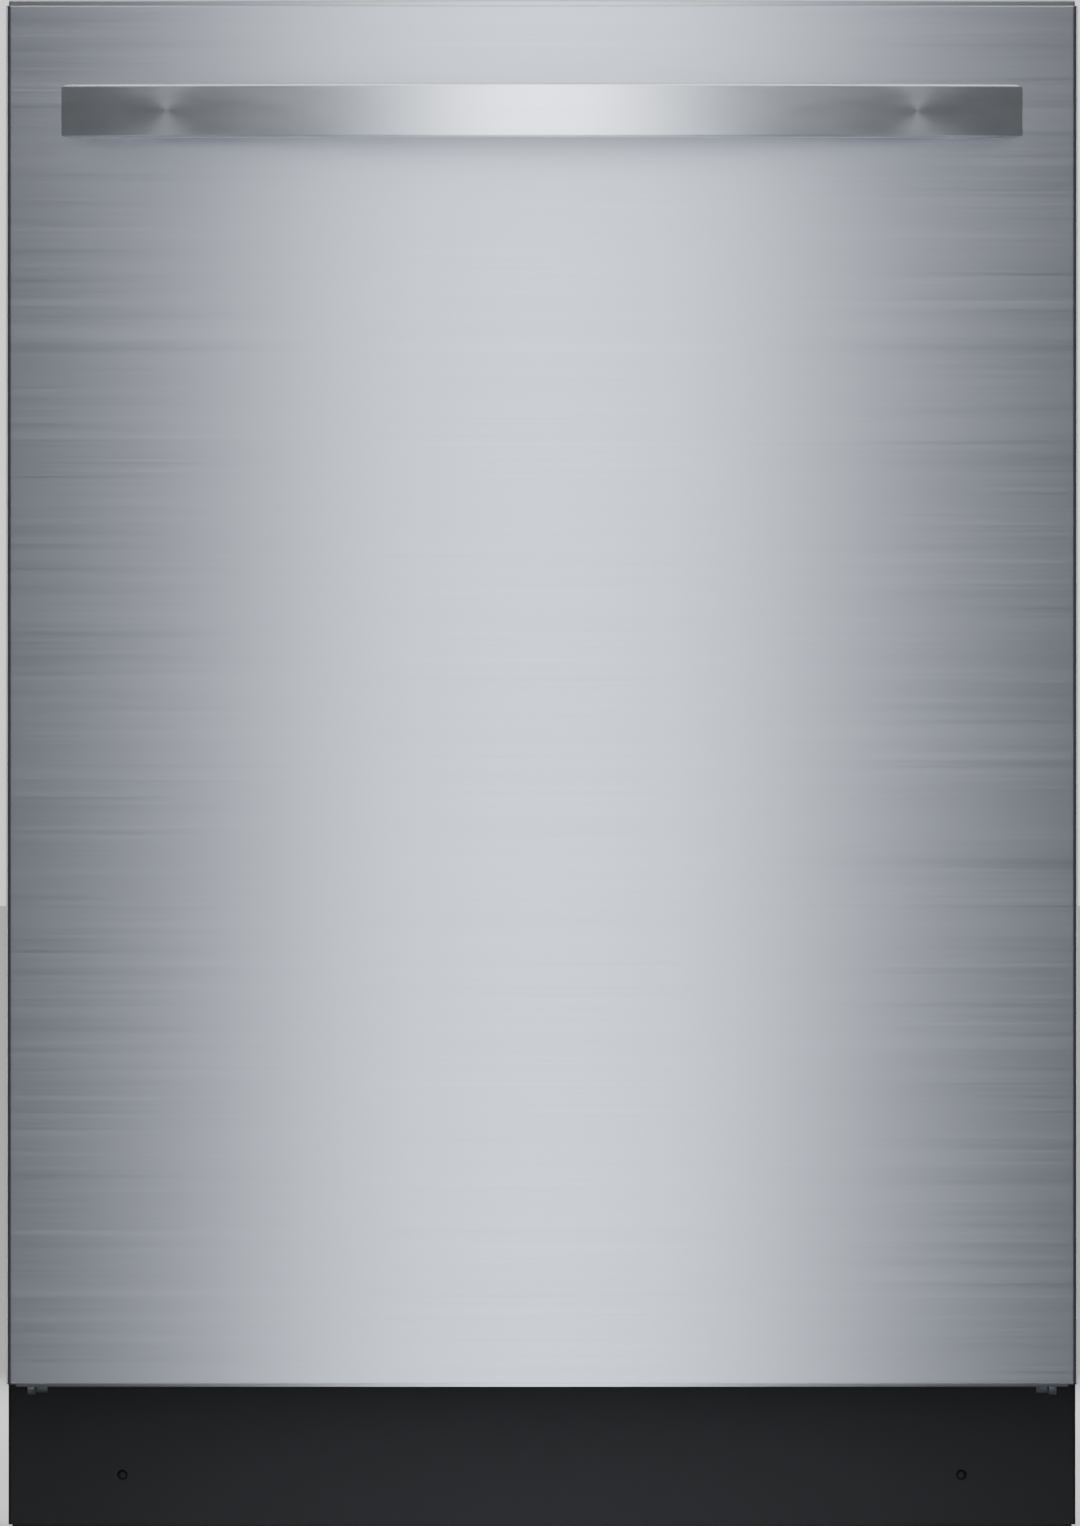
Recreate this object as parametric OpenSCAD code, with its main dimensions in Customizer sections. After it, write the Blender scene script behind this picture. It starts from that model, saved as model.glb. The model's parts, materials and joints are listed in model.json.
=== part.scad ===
// Built-in dishwasher with a drop-down door, three pull-out racks and three spray arms.
// Millimetres. It stands on z = 0, its front faces -Y and x = 0 is its middle plane.

/* [Body] */
// Width across the door and the toe kick
body_w = 598; // [480:1:720]
// Height to the top of the control strip, feet wound in
body_h = 861; // [700:1:1040]
// Depth from the door face to the rear cover
body_depth = 603; // [500:1:730]
// Sheet of the door skin, the frames and the toe kick
sheet_t = 1; // [0.6:0.1:1.5]
// Sheet of the stainless tub
tub_t = 0.8; // [0.5:0.1:1.2]
// Wall of the moulded plastic parts
wall_t = 2.5; // [1.5:0.1:4]

/* [Tub] */
// Space between the inside of the tub and the side of the door
side_space = 25; // [18:1:35]
// Space between the tub ceiling and the top of the machine
top_space = 46; // [40:1:70]
// Space between the tub and the rear cover
back_space = 41; // [36:1:60]
// Height of the ledges that the lower rack rolls on
track_z = 138; // [134:1:150]
// Width of those ledges
track_w = 39; // [30:1:50]
// Depth of the tub floor below the ledges
floor_drop = 14; // [8:1:18]
// Radius of the sump opening in the tub floor
sump_r = 75; // [60:1:85]
// Sideways place of the sump from the middle
sump_x = 45; // [30:1:60]
// Width of the door gasket seen from the front
gasket_w = 8; // [6:0.5:10]

/* [Door] */
// Thickness of the door, skin to inner panel
door_t = 58; // [48:1:70]
// Height of the lower edge of the door skin
door_bottom = 87.5; // [80:0.5:110]
// Gap between the closed door and the front frame
door_gap = 4; // [3:0.5:8]
// Radius of the rolled side edges of the door skin
edge_r = 3; // [1.5:0.5:6]
// Depth of the returns along the sides of the door skin
return_d = 40; // [20:1:48]
// How far the control strip stands above the door skin
strip_up = 3; // [0:0.5:6]
// Distance of the hinge line behind the door face
pivot_in = 17; // [12:1:26]
// Height of the hinge line above the lower door edge
pivot_up = 7.5; // [5:0.5:15]
// Radius of the hinge pins
hinge_pin_r = 5; // [3:0.5:8]

/* [Handle] */
// Length of the handle
handle_len = 541; // [400:1:560]
// Height of the handle bar
handle_h = 30; // [20:1:45]
// Reach of the handle in front of the door face
handle_out = 45; // [34:1:60]
// Thickness of the handle bar
handle_t = 13; // [8:1:18]
// Distance from the top of the machine to the middle of the handle
handle_drop = 62; // [45:1:120]
// Crown of the handle face
handle_crown = 0.8; // [0.3:0.1:3]
// Length of each handle foot along the door
handle_foot = 50; // [30:1:70]

/* [Racks] */
// Radius of the rack wires
wire_r = 2; // [1.5:0.1:3]
// Radius of the rim wires
rim_r = 2.6; // [2:0.1:4]
// Height of the lower rack from its floor to its rim
lower_rack_h = 140; // [90:1:160]
// Height of the upper rack floor above the ground
upper_rack_z = 462; // [440:1:490]
// Height of the upper rack from its floor to its rim
upper_rack_h = 98; // [60:1:110]
// Height of the third rack from its floor to its rim
third_rack_h = 34; // [24:1:45]
// Space between the third rack floor and the tub ceiling
third_rack_drop = 91; // [85:1:110]
// Radius of the lower rack wheels
wheel_r = 18; // [14:0.5:20]
// Width of the lower rack wheels
wheel_w = 10; // [7:0.5:12]
// Number of wires across each rack floor
wires_across = 10; // [7:1:14]
// Number of wires from front to back in each rack floor
wires_along = 11; // [7:2:15]
// Height of the plate tines
tine_h = 74; // [50:1:95]
// Number of tines in a row
tines = 10; // [6:1:14]
// Height of the telescopic rail sections
rail_h = 22; // [16:1:28]
// Width, length and height of the cutlery basket
basket = [72, 236, 132]; // [50:1:300]

/* [Spray arms] */
// Clear space between the arm tips and the tub sides
arm_clear = 49; // [30:1:70]
// Width of the spray arms
arm_w = 44; // [30:1:60]
// Thickness of the spray arms
arm_t = 13; // [9:0.5:16]
// Radius of the pins that the arms spin on
arm_pin_r = 8; // [6:0.5:10]

/* [Base] */
// Setback of the toe kick behind the door face
toe_setback = 90; // [75:1:110]
// Height of the lower edge of the toe kick
toe_bottom = 8.8; // [3:0.1:20]
// Height of the base pan floor above the ground
pan_z = 14; // [12:1:20]
// Radius of the pads of the levelling feet
foot_r = 20; // [14:1:26]
// Radius of the threaded stems of the levelling feet
foot_stem_r = 6; // [4:0.5:8]
// Radius of the circulation pump motor
pump_r = 40; // [30:1:44]
// Radius of the drain pump
drain_pump_r = 24; // [18:1:30]

/* [Detergent dispenser] */
// Width and height of the dispenser
dispenser = [180, 160]; // [120:1:220]
// Height of the lower edge of the dispenser
dispenser_z = 400; // [330:1:430]
// How far the dispenser stands out of the inner door
dispenser_out = 8; // [4:1:10]
// Radius of the rinse aid cap
cap_r = 16; // [12:1:20]

/* [Controls] */
// Radius of the round buttons
button_r = 6; // [4:0.5:9]
// Distance between neighbouring program buttons
button_pitch = 40; // [24:1:60]
// Travel of a button
button_travel = 1; // [0.5:0.1:2]
// Length and width of the display window
display = [100, 24]; // [20:1:140]

/* [Fits] */
// Radial clearance of the pins and wheels that turn
turn_clear = 0.05; // [0.02:0.01:0.1]
// Clearance between other moving neighbours
slide_clear = 0.5; // [0.3:0.1:1]

/* [Hidden] */
$fn = 64;

steel = [0.72, 0.74, 0.78];
tub_steel = [0.82, 0.83, 0.84];
zinc = [0.62, 0.64, 0.66];
black_paint = [0.12, 0.12, 0.12];
black_plastic = [0.16, 0.16, 0.17];
grey_plastic = [0.55, 0.57, 0.6];
light_plastic = [0.8, 0.82, 0.84];
coated_wire = [0.66, 0.68, 0.71];
rubber = [0.2, 0.2, 0.21];
felt = [0.35, 0.34, 0.33];

// Planes of the body.
half_w = body_w / 2;
front_y = -(body_depth + handle_out) / 2;
face_y = front_y + handle_out;
back_y = face_y + body_depth;
door_in_y = face_y + door_t;
frame_y = door_in_y + door_gap;
toe_y = face_y + toe_setback;
door_top = body_h - strip_up;
eps = 1;

// Tub.
tub_hw = half_w - side_space;
tub_top = body_h - top_space;
tub_back_y = back_y - back_space;
floor_z = track_z - floor_drop;
arm_y = (frame_y + tub_back_y) / 2;
dish_r = sump_r + 25;
dish_drop = 6;
sump_top = floor_z - wall_t - dish_drop;

// Base.
pan_hw = half_w - 12.5;
pan_front = toe_y + 2 * sheet_t;
pan_back = back_y - 24;
pan_top = 112;
pan_ledge_z = pan_top - wall_t;
toe_top = door_bottom + 12.5;
foot_pad_h = 8;
foot_x = pan_hw - 36.5;
foot_ys = [pan_front + 37, pan_back - 30];
foot_travel = 25;
foot_boss_r = foot_stem_r + 6;
spring_x = pan_hw - 18.5;
spring_z = 70;
spring_rod_r = 3;
toe_screw_x = half_w * 0.786;
toe_screw_z = 36.7;
toe_screw_r = 1.8;
toe_head_r = 2.9;

// Water parts.
cup_x = sump_x + 28;
cup_r = 31;
inlet_x = pan_hw - 76.5;
inlet_z = 62;
inlet_r = 13.2;
inlet_collar_r = inlet_r + 1.8;
drain_pump_x = sump_x + sump_r + 50;
drain_x = drain_pump_x + 30;
drain_z = 70;
drain_r = 9;
guide_y = [arm_y - 95, arm_y + 165];
guide_z = [pan_top + 138, tub_top - 215];

// Side frames.
post_x = pan_hw + 0.5;
frame_front_y = frame_y + 1.2;
post_w = 42;
flange_w = 10;
frame_top = body_h - 10;

// Door.
pivot_y = face_y + pivot_in;
pivot_z = door_bottom + pivot_up;
liner_hw = half_w - 27;
liner_top = body_h - 38;
liner_z = door_bottom + 3;
ear_x = [liner_hw + 11, post_x];
hinge_arm_x = [liner_hw + 4, liner_hw + 10];

// Handle.
grip_half = min(handle_len, body_w - 57) / 2;
handle_z = body_h - handle_drop;
handle_arc_r = (pow(grip_half, 2) + pow(handle_out, 2)) / (2 * handle_out);
handle_arc_y = front_y + handle_arc_r;
handle_edge_r = 1.2;

// Racks.
rack_front = frame_y + 12;
rack_back = tub_back_y - 25;
floor_front = rack_front + 20;
lower_hw = tub_hw - 24;
wheel_z = track_z + wheel_r + 0.2;
lower_rack_z = track_z + 22;
lower_rim_z = lower_rack_z + lower_rack_h;
wheel_x = [tub_hw - 20, tub_hw - 20 + wheel_w];
wheel_ys = [for (i = [2, wires_across - 2]) spread(floor_front, rack_back, wires_across, i)];
axle_r = 4;
upper_hw = tub_hw - 34;
upper_rim_z = upper_rack_z + upper_rack_h;
third_z = tub_top - third_rack_drop;
third_hw = tub_hw - 26;
stack = 0.6;
wire_lift = 2 * wire_r - stack;
fold_x = lower_hw * 0.4;
fold_z = lower_rack_z + wire_lift + 7;
fold_clip_ys = [for (i = [1, round(wires_across / 2), wires_across - 2])
    spread(floor_front, rack_back, wires_across, i)];
basket_x = [lower_hw - 16 - basket[0], lower_hw - 16];
basket_y = [floor_front + 40, floor_front + 40 + basket[1]];
basket_z = lower_rack_z + wire_lift + wire_r + 0.6;

// Rails, from the tub wall inward.
rail_t = 6;
rail_gap = 1.2;
fixed_x = [tub_hw - 2 - rail_t, tub_hw - 2];
middle_x = [fixed_x[0] - rail_gap - rail_t, fixed_x[0] - rail_gap];
slider_x = [middle_x[0] - rail_gap - rail_t, middle_x[0] - rail_gap];
rail_y = [rack_front + 10, rack_back - 13];
upper_rail_z = upper_rim_z - 30;
third_rail_z = third_z + 18;

// Spray arms.
arm_r = min(tub_hw - arm_clear, (rack_back - rack_front) / 2 - 6.5);
hub_r = 24;
nut_r = 12;
nut_t = 2.5;
lower_arm_z = track_z + 2;
middle_arm_z = upper_rack_z - 37;
upper_arm_z = tub_top - 26;
pipe_r = 7;
manifold_z = middle_arm_z + arm_t + 2.5 + pipe_r;

// Detergent dispenser.
lid_x = [-74, 4];
lid_z = [dispenser_z + 16, dispenser_z + 94];
face_out_y = door_in_y + dispenser_out;
cap_at = [60, dispenser_z + 125];

// Controls on the strip, left to right.
strip_in = 1.2;
strip_mid_y = (face_y + door_in_y) / 2;
power_x = -half_w * 0.8;
start_x = half_w * 0.8;
program_x = [-half_w * 0.42, -half_w * 0.42 + button_pitch];
display_x = half_w * 0.1;

// Boxes given by their spans along x, y and z.
module span(x, y, z)
{
    translate([x[0], y[0], z[0]])
        cube([x[1] - x[0], y[1] - y[0], z[1] - z[0]]);
}

module both_sides()
{
    children();
    mirror([1, 0, 0]) children();
}

module rod_x(x, y, z, r)
{
    translate([x[0], y, z]) rotate([0, 90, 0]) cylinder(r = r, h = x[1] - x[0]);
}

module rod_y(x, y, z, r)
{
    translate([x, y[0], z]) rotate([-90, 0, 0]) cylinder(r = r, h = y[1] - y[0]);
}

module rod_z(x, y, z, r)
{
    translate([x, y, z[0]]) cylinder(r = r, h = z[1] - z[0]);
}

module soft_rect(w, h, r)
{
    square([w - 2 * r, h], center = true);
    square([w, h - 2 * r], center = true);
    for (sx = [-1, 1], sy = [-1, 1])
        translate([sx * (w / 2 - r), sy * (h / 2 - r)]) circle(r = r);
}

// Wires are eight-sided bars that sink into each other where they are welded.
module wire_x(x, y, z, r = wire_r)
{
    translate([x[0], y, z]) rotate([0, 90, 0]) cylinder(r = r, h = x[1] - x[0], $fn = 8);
}

module wire_y(x, y, z, r = wire_r)
{
    translate([x, y[0], z]) rotate([-90, 0, 0]) cylinder(r = r, h = y[1] - y[0], $fn = 8);
}

module wire_z(x, y, z, r = wire_r)
{
    translate([x, y, z[0]]) cylinder(r = r, h = z[1] - z[0], $fn = 8);
}

function spread(a, b, n, i) = a + (b - a) * i / (n - 1);

// ---- Base ----

module each_foot()
{
    for (sx = [-1, 1], y = foot_ys) translate([sx * foot_x, y, 0]) children();
}

module base_pan()
{
    boss_top = 52;
    color(black_plastic)
        difference() {
            union() {
                difference() {
                    span([-pan_hw, pan_hw], [pan_front, pan_back], [pan_z, pan_top]);
                    span([-pan_hw + wall_t, pan_hw - wall_t],
                        [pan_front + wall_t, pan_back - wall_t],
                        [pan_z + wall_t, pan_ledge_z]);
                    span([-tub_hw + 8, tub_hw - 8],
                        [frame_front_y + 38, tub_back_y - 8],
                        [pan_ledge_z - eps, pan_top + eps]);
                }
                each_foot() rod_z(0, 0, [pan_z, boss_top], foot_boss_r);
                // Ribs that stiffen the pan floor.
                for (y = [arm_y - 123, arm_y + 117])
                    span([-pan_hw + 1, pan_hw - 1], [y - 1.5, y + 1.5], [pan_z + 1, pan_z + 6]);
            }
            each_foot() rod_z(0, 0, [pan_z - eps, boss_top + eps], foot_stem_r + turn_clear);
            both_sides() rod_y(toe_screw_x, [pan_front - eps, pan_front + wall_t + eps],
                toe_screw_z, toe_screw_r + 0.1);
            rod_y(-inlet_x, [pan_back - wall_t - eps, pan_back + eps], inlet_z, inlet_collar_r + 0.3);
            rod_y(drain_x, [pan_back - wall_t - eps, pan_back + eps], drain_z, drain_r + 0.3);
        }
}

module foot(sx, y)
{
    color(black_plastic) translate([sx * foot_x, y, 0]) {
        cylinder(r = foot_r, h = foot_pad_h);
        rod_z(0, 0, [foot_pad_h - eps, 50], foot_stem_r);
    }
}

module foot_front_left() { foot(-1, foot_ys[0]); }
module foot_front_right() { foot(1, foot_ys[0]); }
module foot_rear_left() { foot(-1, foot_ys[1]); }
module foot_rear_right() { foot(1, foot_ys[1]); }

module toe_kick()
{
    color(black_paint)
        difference() {
            span([-half_w, half_w], [toe_y, toe_y + 15], [toe_bottom, toe_top]);
            span([-half_w + sheet_t, half_w - sheet_t], [toe_y + sheet_t, toe_y + 16],
                [toe_bottom - eps, toe_top - sheet_t]);
            // The top lip stops at the base pan.
            span([-half_w + sheet_t, half_w - sheet_t], [pan_front - 0.2, toe_y + 16],
                [toe_top - 2 * sheet_t, toe_top + eps]);
            both_sides() rod_y(toe_screw_x, [toe_y - eps, toe_y + 3], toe_screw_z,
                toe_screw_r + 0.4);
        }
}

module toe_plate()
{
    color(black_paint)
        span([-half_w + 2.2, half_w - 2.2], [toe_y + sheet_t, toe_y + 2 * sheet_t],
            [toe_bottom - 1.7, 24]);
}

module toe_kick_screws()
{
    slot = 0.8;
    color(black_paint)
        both_sides() {
            difference() {
                rod_y(toe_screw_x, [toe_y - 1.8, toe_y], toe_screw_z, toe_head_r);
                translate([toe_screw_x, toe_y - 1.8, toe_screw_z]) {
                    cube([slot, 2, 3.4], center = true);
                    cube([3.4, 2, slot], center = true);
                }
            }
            rod_y(toe_screw_x, [toe_y - 0.1, toe_y + 14], toe_screw_z, toe_screw_r);
        }
}

module junction_box()
{
    x = [pan_hw - 106.5, pan_hw - 36.5 - foot_boss_r - 2];
    y = [pan_front + 17, pan_front + 87];
    z = [pan_z + wall_t, pan_z + 46];
    color(zinc)
        difference() {
            span(x, y, z);
            span([x[0] + sheet_t, x[1] - sheet_t], [y[0] + sheet_t, y[1] - sheet_t],
                [z[0] + sheet_t, z[1] - sheet_t]);
            // Cable entry on the left side.
            rod_x([x[0] - eps, x[0] + 2], (y[0] + y[1]) / 2, z[0] + 20, 11);
        }
}

module inlet_valve()
{
    y = pan_back - wall_t - 46;
    color(light_plastic)
        translate([-inlet_x, 0, 0])
            difference() {
                union() {
                    rod_y(0, [y + 20, pan_back + 0.5], inlet_z, inlet_collar_r);
                    rod_y(0, [pan_back, back_y - 2], inlet_z, inlet_r);
                    rod_y(0, [pan_back - wall_t - 8, pan_back - wall_t], inlet_z, inlet_r + 5);
                    span([-18, 18], [y, y + 24], [inlet_z - 18, inlet_z + 18]);
                    rod_z(0, y + 12, [inlet_z + 17, inlet_z + 38], 14);
                }
                rod_y(0, [y + 6, back_y], inlet_z, inlet_r - 3);
            }
}

module circulation_pump()
{
    x0 = -pan_hw + 56;
    x1 = sump_x - sump_r - 26;
    z = pan_z + wall_t + pump_r + 4;
    color(black_plastic) {
        rod_x([x0, x1], arm_y, z, pump_r);
        rod_x([x1 - eps, x1 + 18], arm_y, z, pump_r - 8);
        rod_x([x1 + 17, sump_x - sump_r], arm_y, z, 16);
        // Rubber cradles under the motor.
        for (x = [x0 + 14, x1 - 24])
            span([x, x + 10], [arm_y - 22, arm_y + 22], [pan_z + wall_t, z - pump_r + 8]);
    }
}

module drain_pump()
{
    z = pan_z + wall_t + drain_pump_r + 6;
    color(black_plastic)
        difference() {
            union() {
                rod_x([sump_x + sump_r, drain_pump_x], arm_y, z, 12);
                rod_x([drain_pump_x - eps, drain_pump_x + 62], arm_y, z, drain_pump_r);
                // Outlet pipe to the rear spigot.
                rod_y(drain_x, [arm_y + drain_pump_r - 4, back_y - 2], drain_z, drain_r);
                rod_z(drain_x, arm_y + 26, [z, drain_z + drain_r], drain_r);
                span([drain_pump_x + 4, drain_x + 8],
                    [arm_y + 10, arm_y + 30], [z - 8, z + 8]);
                rod_y(drain_x, [back_y - 12, back_y - 9], drain_z, drain_r + 1);
            }
            rod_y(drain_x, [arm_y + 60, back_y], drain_z, drain_r - 2);
        }
}

module sump()
{
    z0 = pan_z + wall_t;
    color(grey_plastic) {
        difference() {
            rod_z(sump_x, arm_y, [z0, sump_top], sump_r);
            rod_z(sump_x, arm_y, [z0 + wall_t, sump_top + eps], sump_r - wall_t);
        }
        // Water post with the pin that the lower arm spins on.
        rod_z(0, arm_y, [z0 + 1, lower_arm_z - 2], 14);
        rod_z(0, arm_y, [lower_arm_z - 3, lower_arm_z + arm_t + 1], arm_pin_r);
        rod_z(0, arm_y, [lower_arm_z + arm_t + slide_clear, lower_arm_z + arm_t + 3], nut_r);
    }
}

module filter_plate()
{
    color(tub_steel)
        difference() {
            rod_z(sump_x, arm_y, [floor_z, floor_z + 1.2], dish_r + 4);
            rod_z(0, arm_y, [floor_z - eps, floor_z + 3], 14.5);
            rod_z(cup_x, arm_y, [floor_z - eps, floor_z + 3], cup_r + slide_clear);
        }
}

module filter_cup()
{
    rest = floor_z + 1.5;
    color(grey_plastic) {
        difference() {
            union() {
                rod_z(cup_x, arm_y, [floor_z - 70, rest + 2], cup_r);
                rod_z(cup_x, arm_y, [rest, rest + 2], cup_r + 5);
            }
            rod_z(cup_x, arm_y, [floor_z - 68, rest + 3], cup_r - 2);
        }
        // Grip across the rim.
        span([cup_x - cup_r + 1, cup_x + cup_r - 1], [arm_y - 3, arm_y + 3],
            [rest - 6, rest + 9]);
    }
}

module balance_springs()
{
    color(zinc)
        both_sides()
            difference() {
                rod_y(spring_x, [pan_front + 69, pan_front + 239], spring_z, 11);
                rod_y(spring_x, [pan_front + 60, pan_front + 232], spring_z,
                    spring_rod_r + turn_clear);
            }
}

module balance_rods()
{
    color(steel)
        both_sides() {
            rod_y(spring_x, [pan_front + 62, pan_front + 160], spring_z, spring_rod_r);
            // Flat eye that the balance cord hooks into.
            difference() {
                span([spring_x - 1.5, spring_x + 1.5], [pan_front + 51, pan_front + 64],
                    [spring_z - 6, spring_z + 6]);
                rod_x([spring_x - 4, spring_x + 4], pan_front + 57, spring_z, 2.5);
            }
        }
}

// ---- Tub and frame ----

module tub_wrap()
{
    color(tub_steel)
        difference() {
            span([-tub_hw - tub_t, tub_hw + tub_t], [frame_front_y, tub_back_y],
                [pan_top, tub_top + tub_t]);
            span([-tub_hw, tub_hw], [frame_front_y - eps, tub_back_y + eps],
                [pan_top - eps, tub_top]);
        }
}

module tub_back()
{
    color(tub_steel) {
        span([-tub_hw - tub_t, tub_hw + tub_t], [tub_back_y, tub_back_y + tub_t],
            [pan_top, tub_top + tub_t]);
        // Pressed panels that stiffen the rear wall.
        for (i = [0 : 2])
            both_sides()
                translate([0, 0, spread(pan_top + 60, tub_top - 160, 3, i)])
                    span([60, tub_hw - 50], [tub_back_y + tub_t / 2, tub_back_y + tub_t + 3],
                        [0, 110]);
    }
}

module tub_floor()
{
    inner_hw = tub_hw - track_w;
    y0 = frame_front_y;
    color(tub_steel)
        difference() {
            union() {
                difference() {
                    span([-tub_hw, tub_hw], [y0, tub_back_y], [pan_top, track_z]);
                    span([-tub_hw + wall_t, tub_hw - wall_t],
                        [y0 + wall_t, tub_back_y - wall_t], [pan_top - eps, track_z - wall_t]);
                }
                span([-inner_hw - wall_t, inner_hw + wall_t], [y0 + 16, tub_back_y - 16],
                    [floor_z - wall_t, track_z]);
                translate([sump_x, arm_y, sump_top])
                    cylinder(r1 = sump_r + wall_t, r2 = dish_r + wall_t, h = dish_drop);
            }
            span([-inner_hw, inner_hw], [y0 + 16 + wall_t, tub_back_y - 16 - wall_t],
                [floor_z, track_z + eps]);
            translate([sump_x, arm_y, sump_top + wall_t])
                cylinder(r1 = sump_r, r2 = dish_r, h = dish_drop);
            rod_z(sump_x, arm_y, [sump_top - eps, sump_top + wall_t + eps], sump_r - wall_t);
        }
}

module front_frame()
{
    t = frame_front_y - frame_y;
    outer = half_w - 2;
    color(tub_steel)
        difference() {
            union() {
                span([-outer, outer], [frame_y, frame_front_y], [pivot_z + 1, body_h - 4]);
                // Top flange that carries the fixing brackets.
                span([-outer, outer], [frame_y, frame_y + 40], [body_h - 4 - t, body_h - 4]);
            }
            span([-tub_hw, tub_hw], [frame_y - eps, frame_front_y + eps],
                [track_z - wall_t, tub_top]);
            both_sides()
                span([tub_hw - 2, outer + eps], [frame_y - eps, frame_front_y + eps],
                    [pivot_z, pan_top - 2]);
        }
}

module door_gasket()
{
    y = [frame_y - door_gap + 0.6, frame_y + 11];
    color(rubber)
        difference() {
            span([-tub_hw, tub_hw], y, [track_z, tub_top]);
            span([-tub_hw + gasket_w, tub_hw - gasket_w], [y[0] - eps, y[1] + eps],
                [track_z - eps, tub_top - gasket_w]);
        }
}

module side_frame(s)
{
    t = 1.2;
    x = [post_x, post_x + t];
    y = [frame_front_y, back_y - 2 * t];
    low = pan_z + 6;
    shelf = pan_top - 8;
    windows = [shelf + 50, frame_top - 40];
    window_h = (windows[1] - windows[0] - 2 * post_w) / 3;
    color(zinc)
        mirror([s < 0 ? 1 : 0, 0, 0]) {
            difference() {
                span(x, y, [low, frame_top]);
                // The foot of the panel is cut back behind the toe kick.
                span([x[0] - eps, x[1] + eps], [y[0] - eps, toe_y + 20], [low - eps, shelf]);
                for (i = [0 : 2])
                    translate([0, 0, windows[0] + i * (window_h + post_w)])
                        span([x[0] - eps, x[1] + eps], [y[0] + post_w, y[1] - post_w],
                            [0, window_h]);
            }
            // Front and rear flanges.
            span([x[0], x[1] + flange_w], [y[0], y[0] + t], [pan_top, frame_top]);
            span([x[0] - 2 * flange_w, x[1]], [y[1] - t, y[1]], [pan_top, frame_top]);
            // Hinge bracket with its pin.
            span(ear_x, [frame_front_y + 3, toe_y - 2], [pivot_z - 12, pivot_z + 78]);
            span(ear_x, [pivot_y, toe_y - 2], [pivot_z - 12, pivot_z + 12]);
            rod_x(ear_x, pivot_y, pivot_z, 12);
            rod_x([hinge_arm_x[0] - 1, ear_x[0] + eps], pivot_y, pivot_z, hinge_pin_r);
        }
}

module side_frames()
{
    for (s = [-1, 1]) side_frame(s);
}

module top_crossbar()
{
    z = frame_top - 22;
    color(zinc)
        difference() {
            span([-post_x, post_x], [tub_back_y + 6, tub_back_y + 30], [z, frame_top]);
            span([-post_x - eps, post_x + eps], [tub_back_y + 6 + sheet_t, tub_back_y + 31],
                [z + sheet_t, frame_top - sheet_t]);
        }
}

module rear_cover()
{
    t = 1.2;
    color(zinc)
        difference() {
            span([-post_x - t, post_x + t], [back_y - 2 * t, back_y - t],
                [pan_z + 6, pan_top + 218]);
            rod_y(-inlet_x, [back_y - 10, back_y], inlet_z, inlet_r + 6);
            rod_y(drain_x, [back_y - 10, back_y], drain_z, drain_r + 6);
            for (i = [0 : 5])
                span([-90, 90], [back_y - 10, back_y],
                    [pan_top + 78 + 18 * i, pan_top + 84 + 18 * i]);
        }
    // Rubber buffers that keep the cover off the wall.
    color(rubber)
        for (sx = [-1, 1], z = [pan_z + 20, pan_top + 198])
            rod_y(sx * (post_x - 30), [back_y - t, back_y], z, 8);
}

module insulation()
{
    gap = 0.5;
    t = 11;
    x = [tub_hw + tub_t + gap, tub_hw + tub_t + gap + t];
    y = [toe_y + 4, tub_back_y - 3];
    color(felt)
        difference() {
            span([-x[1], x[1]], y, [pan_top + 18, tub_top + tub_t + gap + t]);
            span([-x[0], x[0]], [y[0] - eps, y[1] + eps], [pan_top, tub_top + tub_t + gap]);
            span([-x[1] - eps, -x[0] + eps], guide_y, guide_z);
        }
}

module water_guide()
{
    x = [-tub_hw - tub_t - 11, -tub_hw - tub_t - 1];
    y = [guide_y[0] + 2, guide_y[1] - 2];
    z = [guide_z[0] + 2, guide_z[1] - 2];
    color(light_plastic)
        difference() {
            span(x, y, z);
            for (i = [0 : 3])
                span([x[0] - eps, x[1] - 3], [y[0] + 6 + i * 63, y[0] + 60 + i * 63],
                    [z[0] + 6, z[1] - 6]);
        }
}

module feed_tube()
{
    y = [rack_back + 10, tub_back_y];
    top = tub_top - 1;
    pipe_z = upper_arm_z + arm_t + 1;
    color(grey_plastic)
        difference() {
            union() {
                span([-20, 20], y, [track_z, top]);
                span([-12, 12], [arm_y, y[1]], [pipe_z, top]);
                rod_z(0, arm_y, [pipe_z, top], 18);
                rod_z(0, arm_y, [upper_arm_z - 1, pipe_z + 1], arm_pin_r);
                rod_z(0, arm_y, [upper_arm_z - 3, upper_arm_z - slide_clear], nut_r);
                rod_y(0, [rack_back + 3, y[0] + 1], manifold_z, 9);
            }
            span([-20 + wall_t, 20 - wall_t], [y[0] + wall_t, y[1] - wall_t],
                [track_z - eps, pipe_z]);
        }
}

module fixed_rails()
{
    color(steel)
        both_sides()
            for (z = [upper_rail_z, third_rail_z]) {
                difference() {
                    span(fixed_x, rail_y, [z - rail_h / 2, z + rail_h / 2]);
                    span([fixed_x[0] - eps, fixed_x[1] - 2], [rail_y[0] - eps, rail_y[1] + eps],
                        [z - rail_h / 2 + 2, z + rail_h / 2 - 2]);
                }
                // Spacers between the rail and the tub wall.
                for (y = [rail_y[0] + 40, rail_y[1] - 60])
                    span([fixed_x[1] - 0.5, tub_hw], [y, y + 22], [z - 8, z + 8]);
            }
}

module latch_strike()
{
    z = liner_top + 14;
    color(steel) {
        span([-20, 20], [frame_y - 1.2, frame_y], [z - 10, z + 14]);
        difference() {
            span([-10, 10], [frame_y - 23, frame_y - 1], [z, z + 3]);
            span([-5, 5], [frame_y - 19, frame_y - 13], [z - eps, z + 4]);
        }
    }
}

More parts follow.
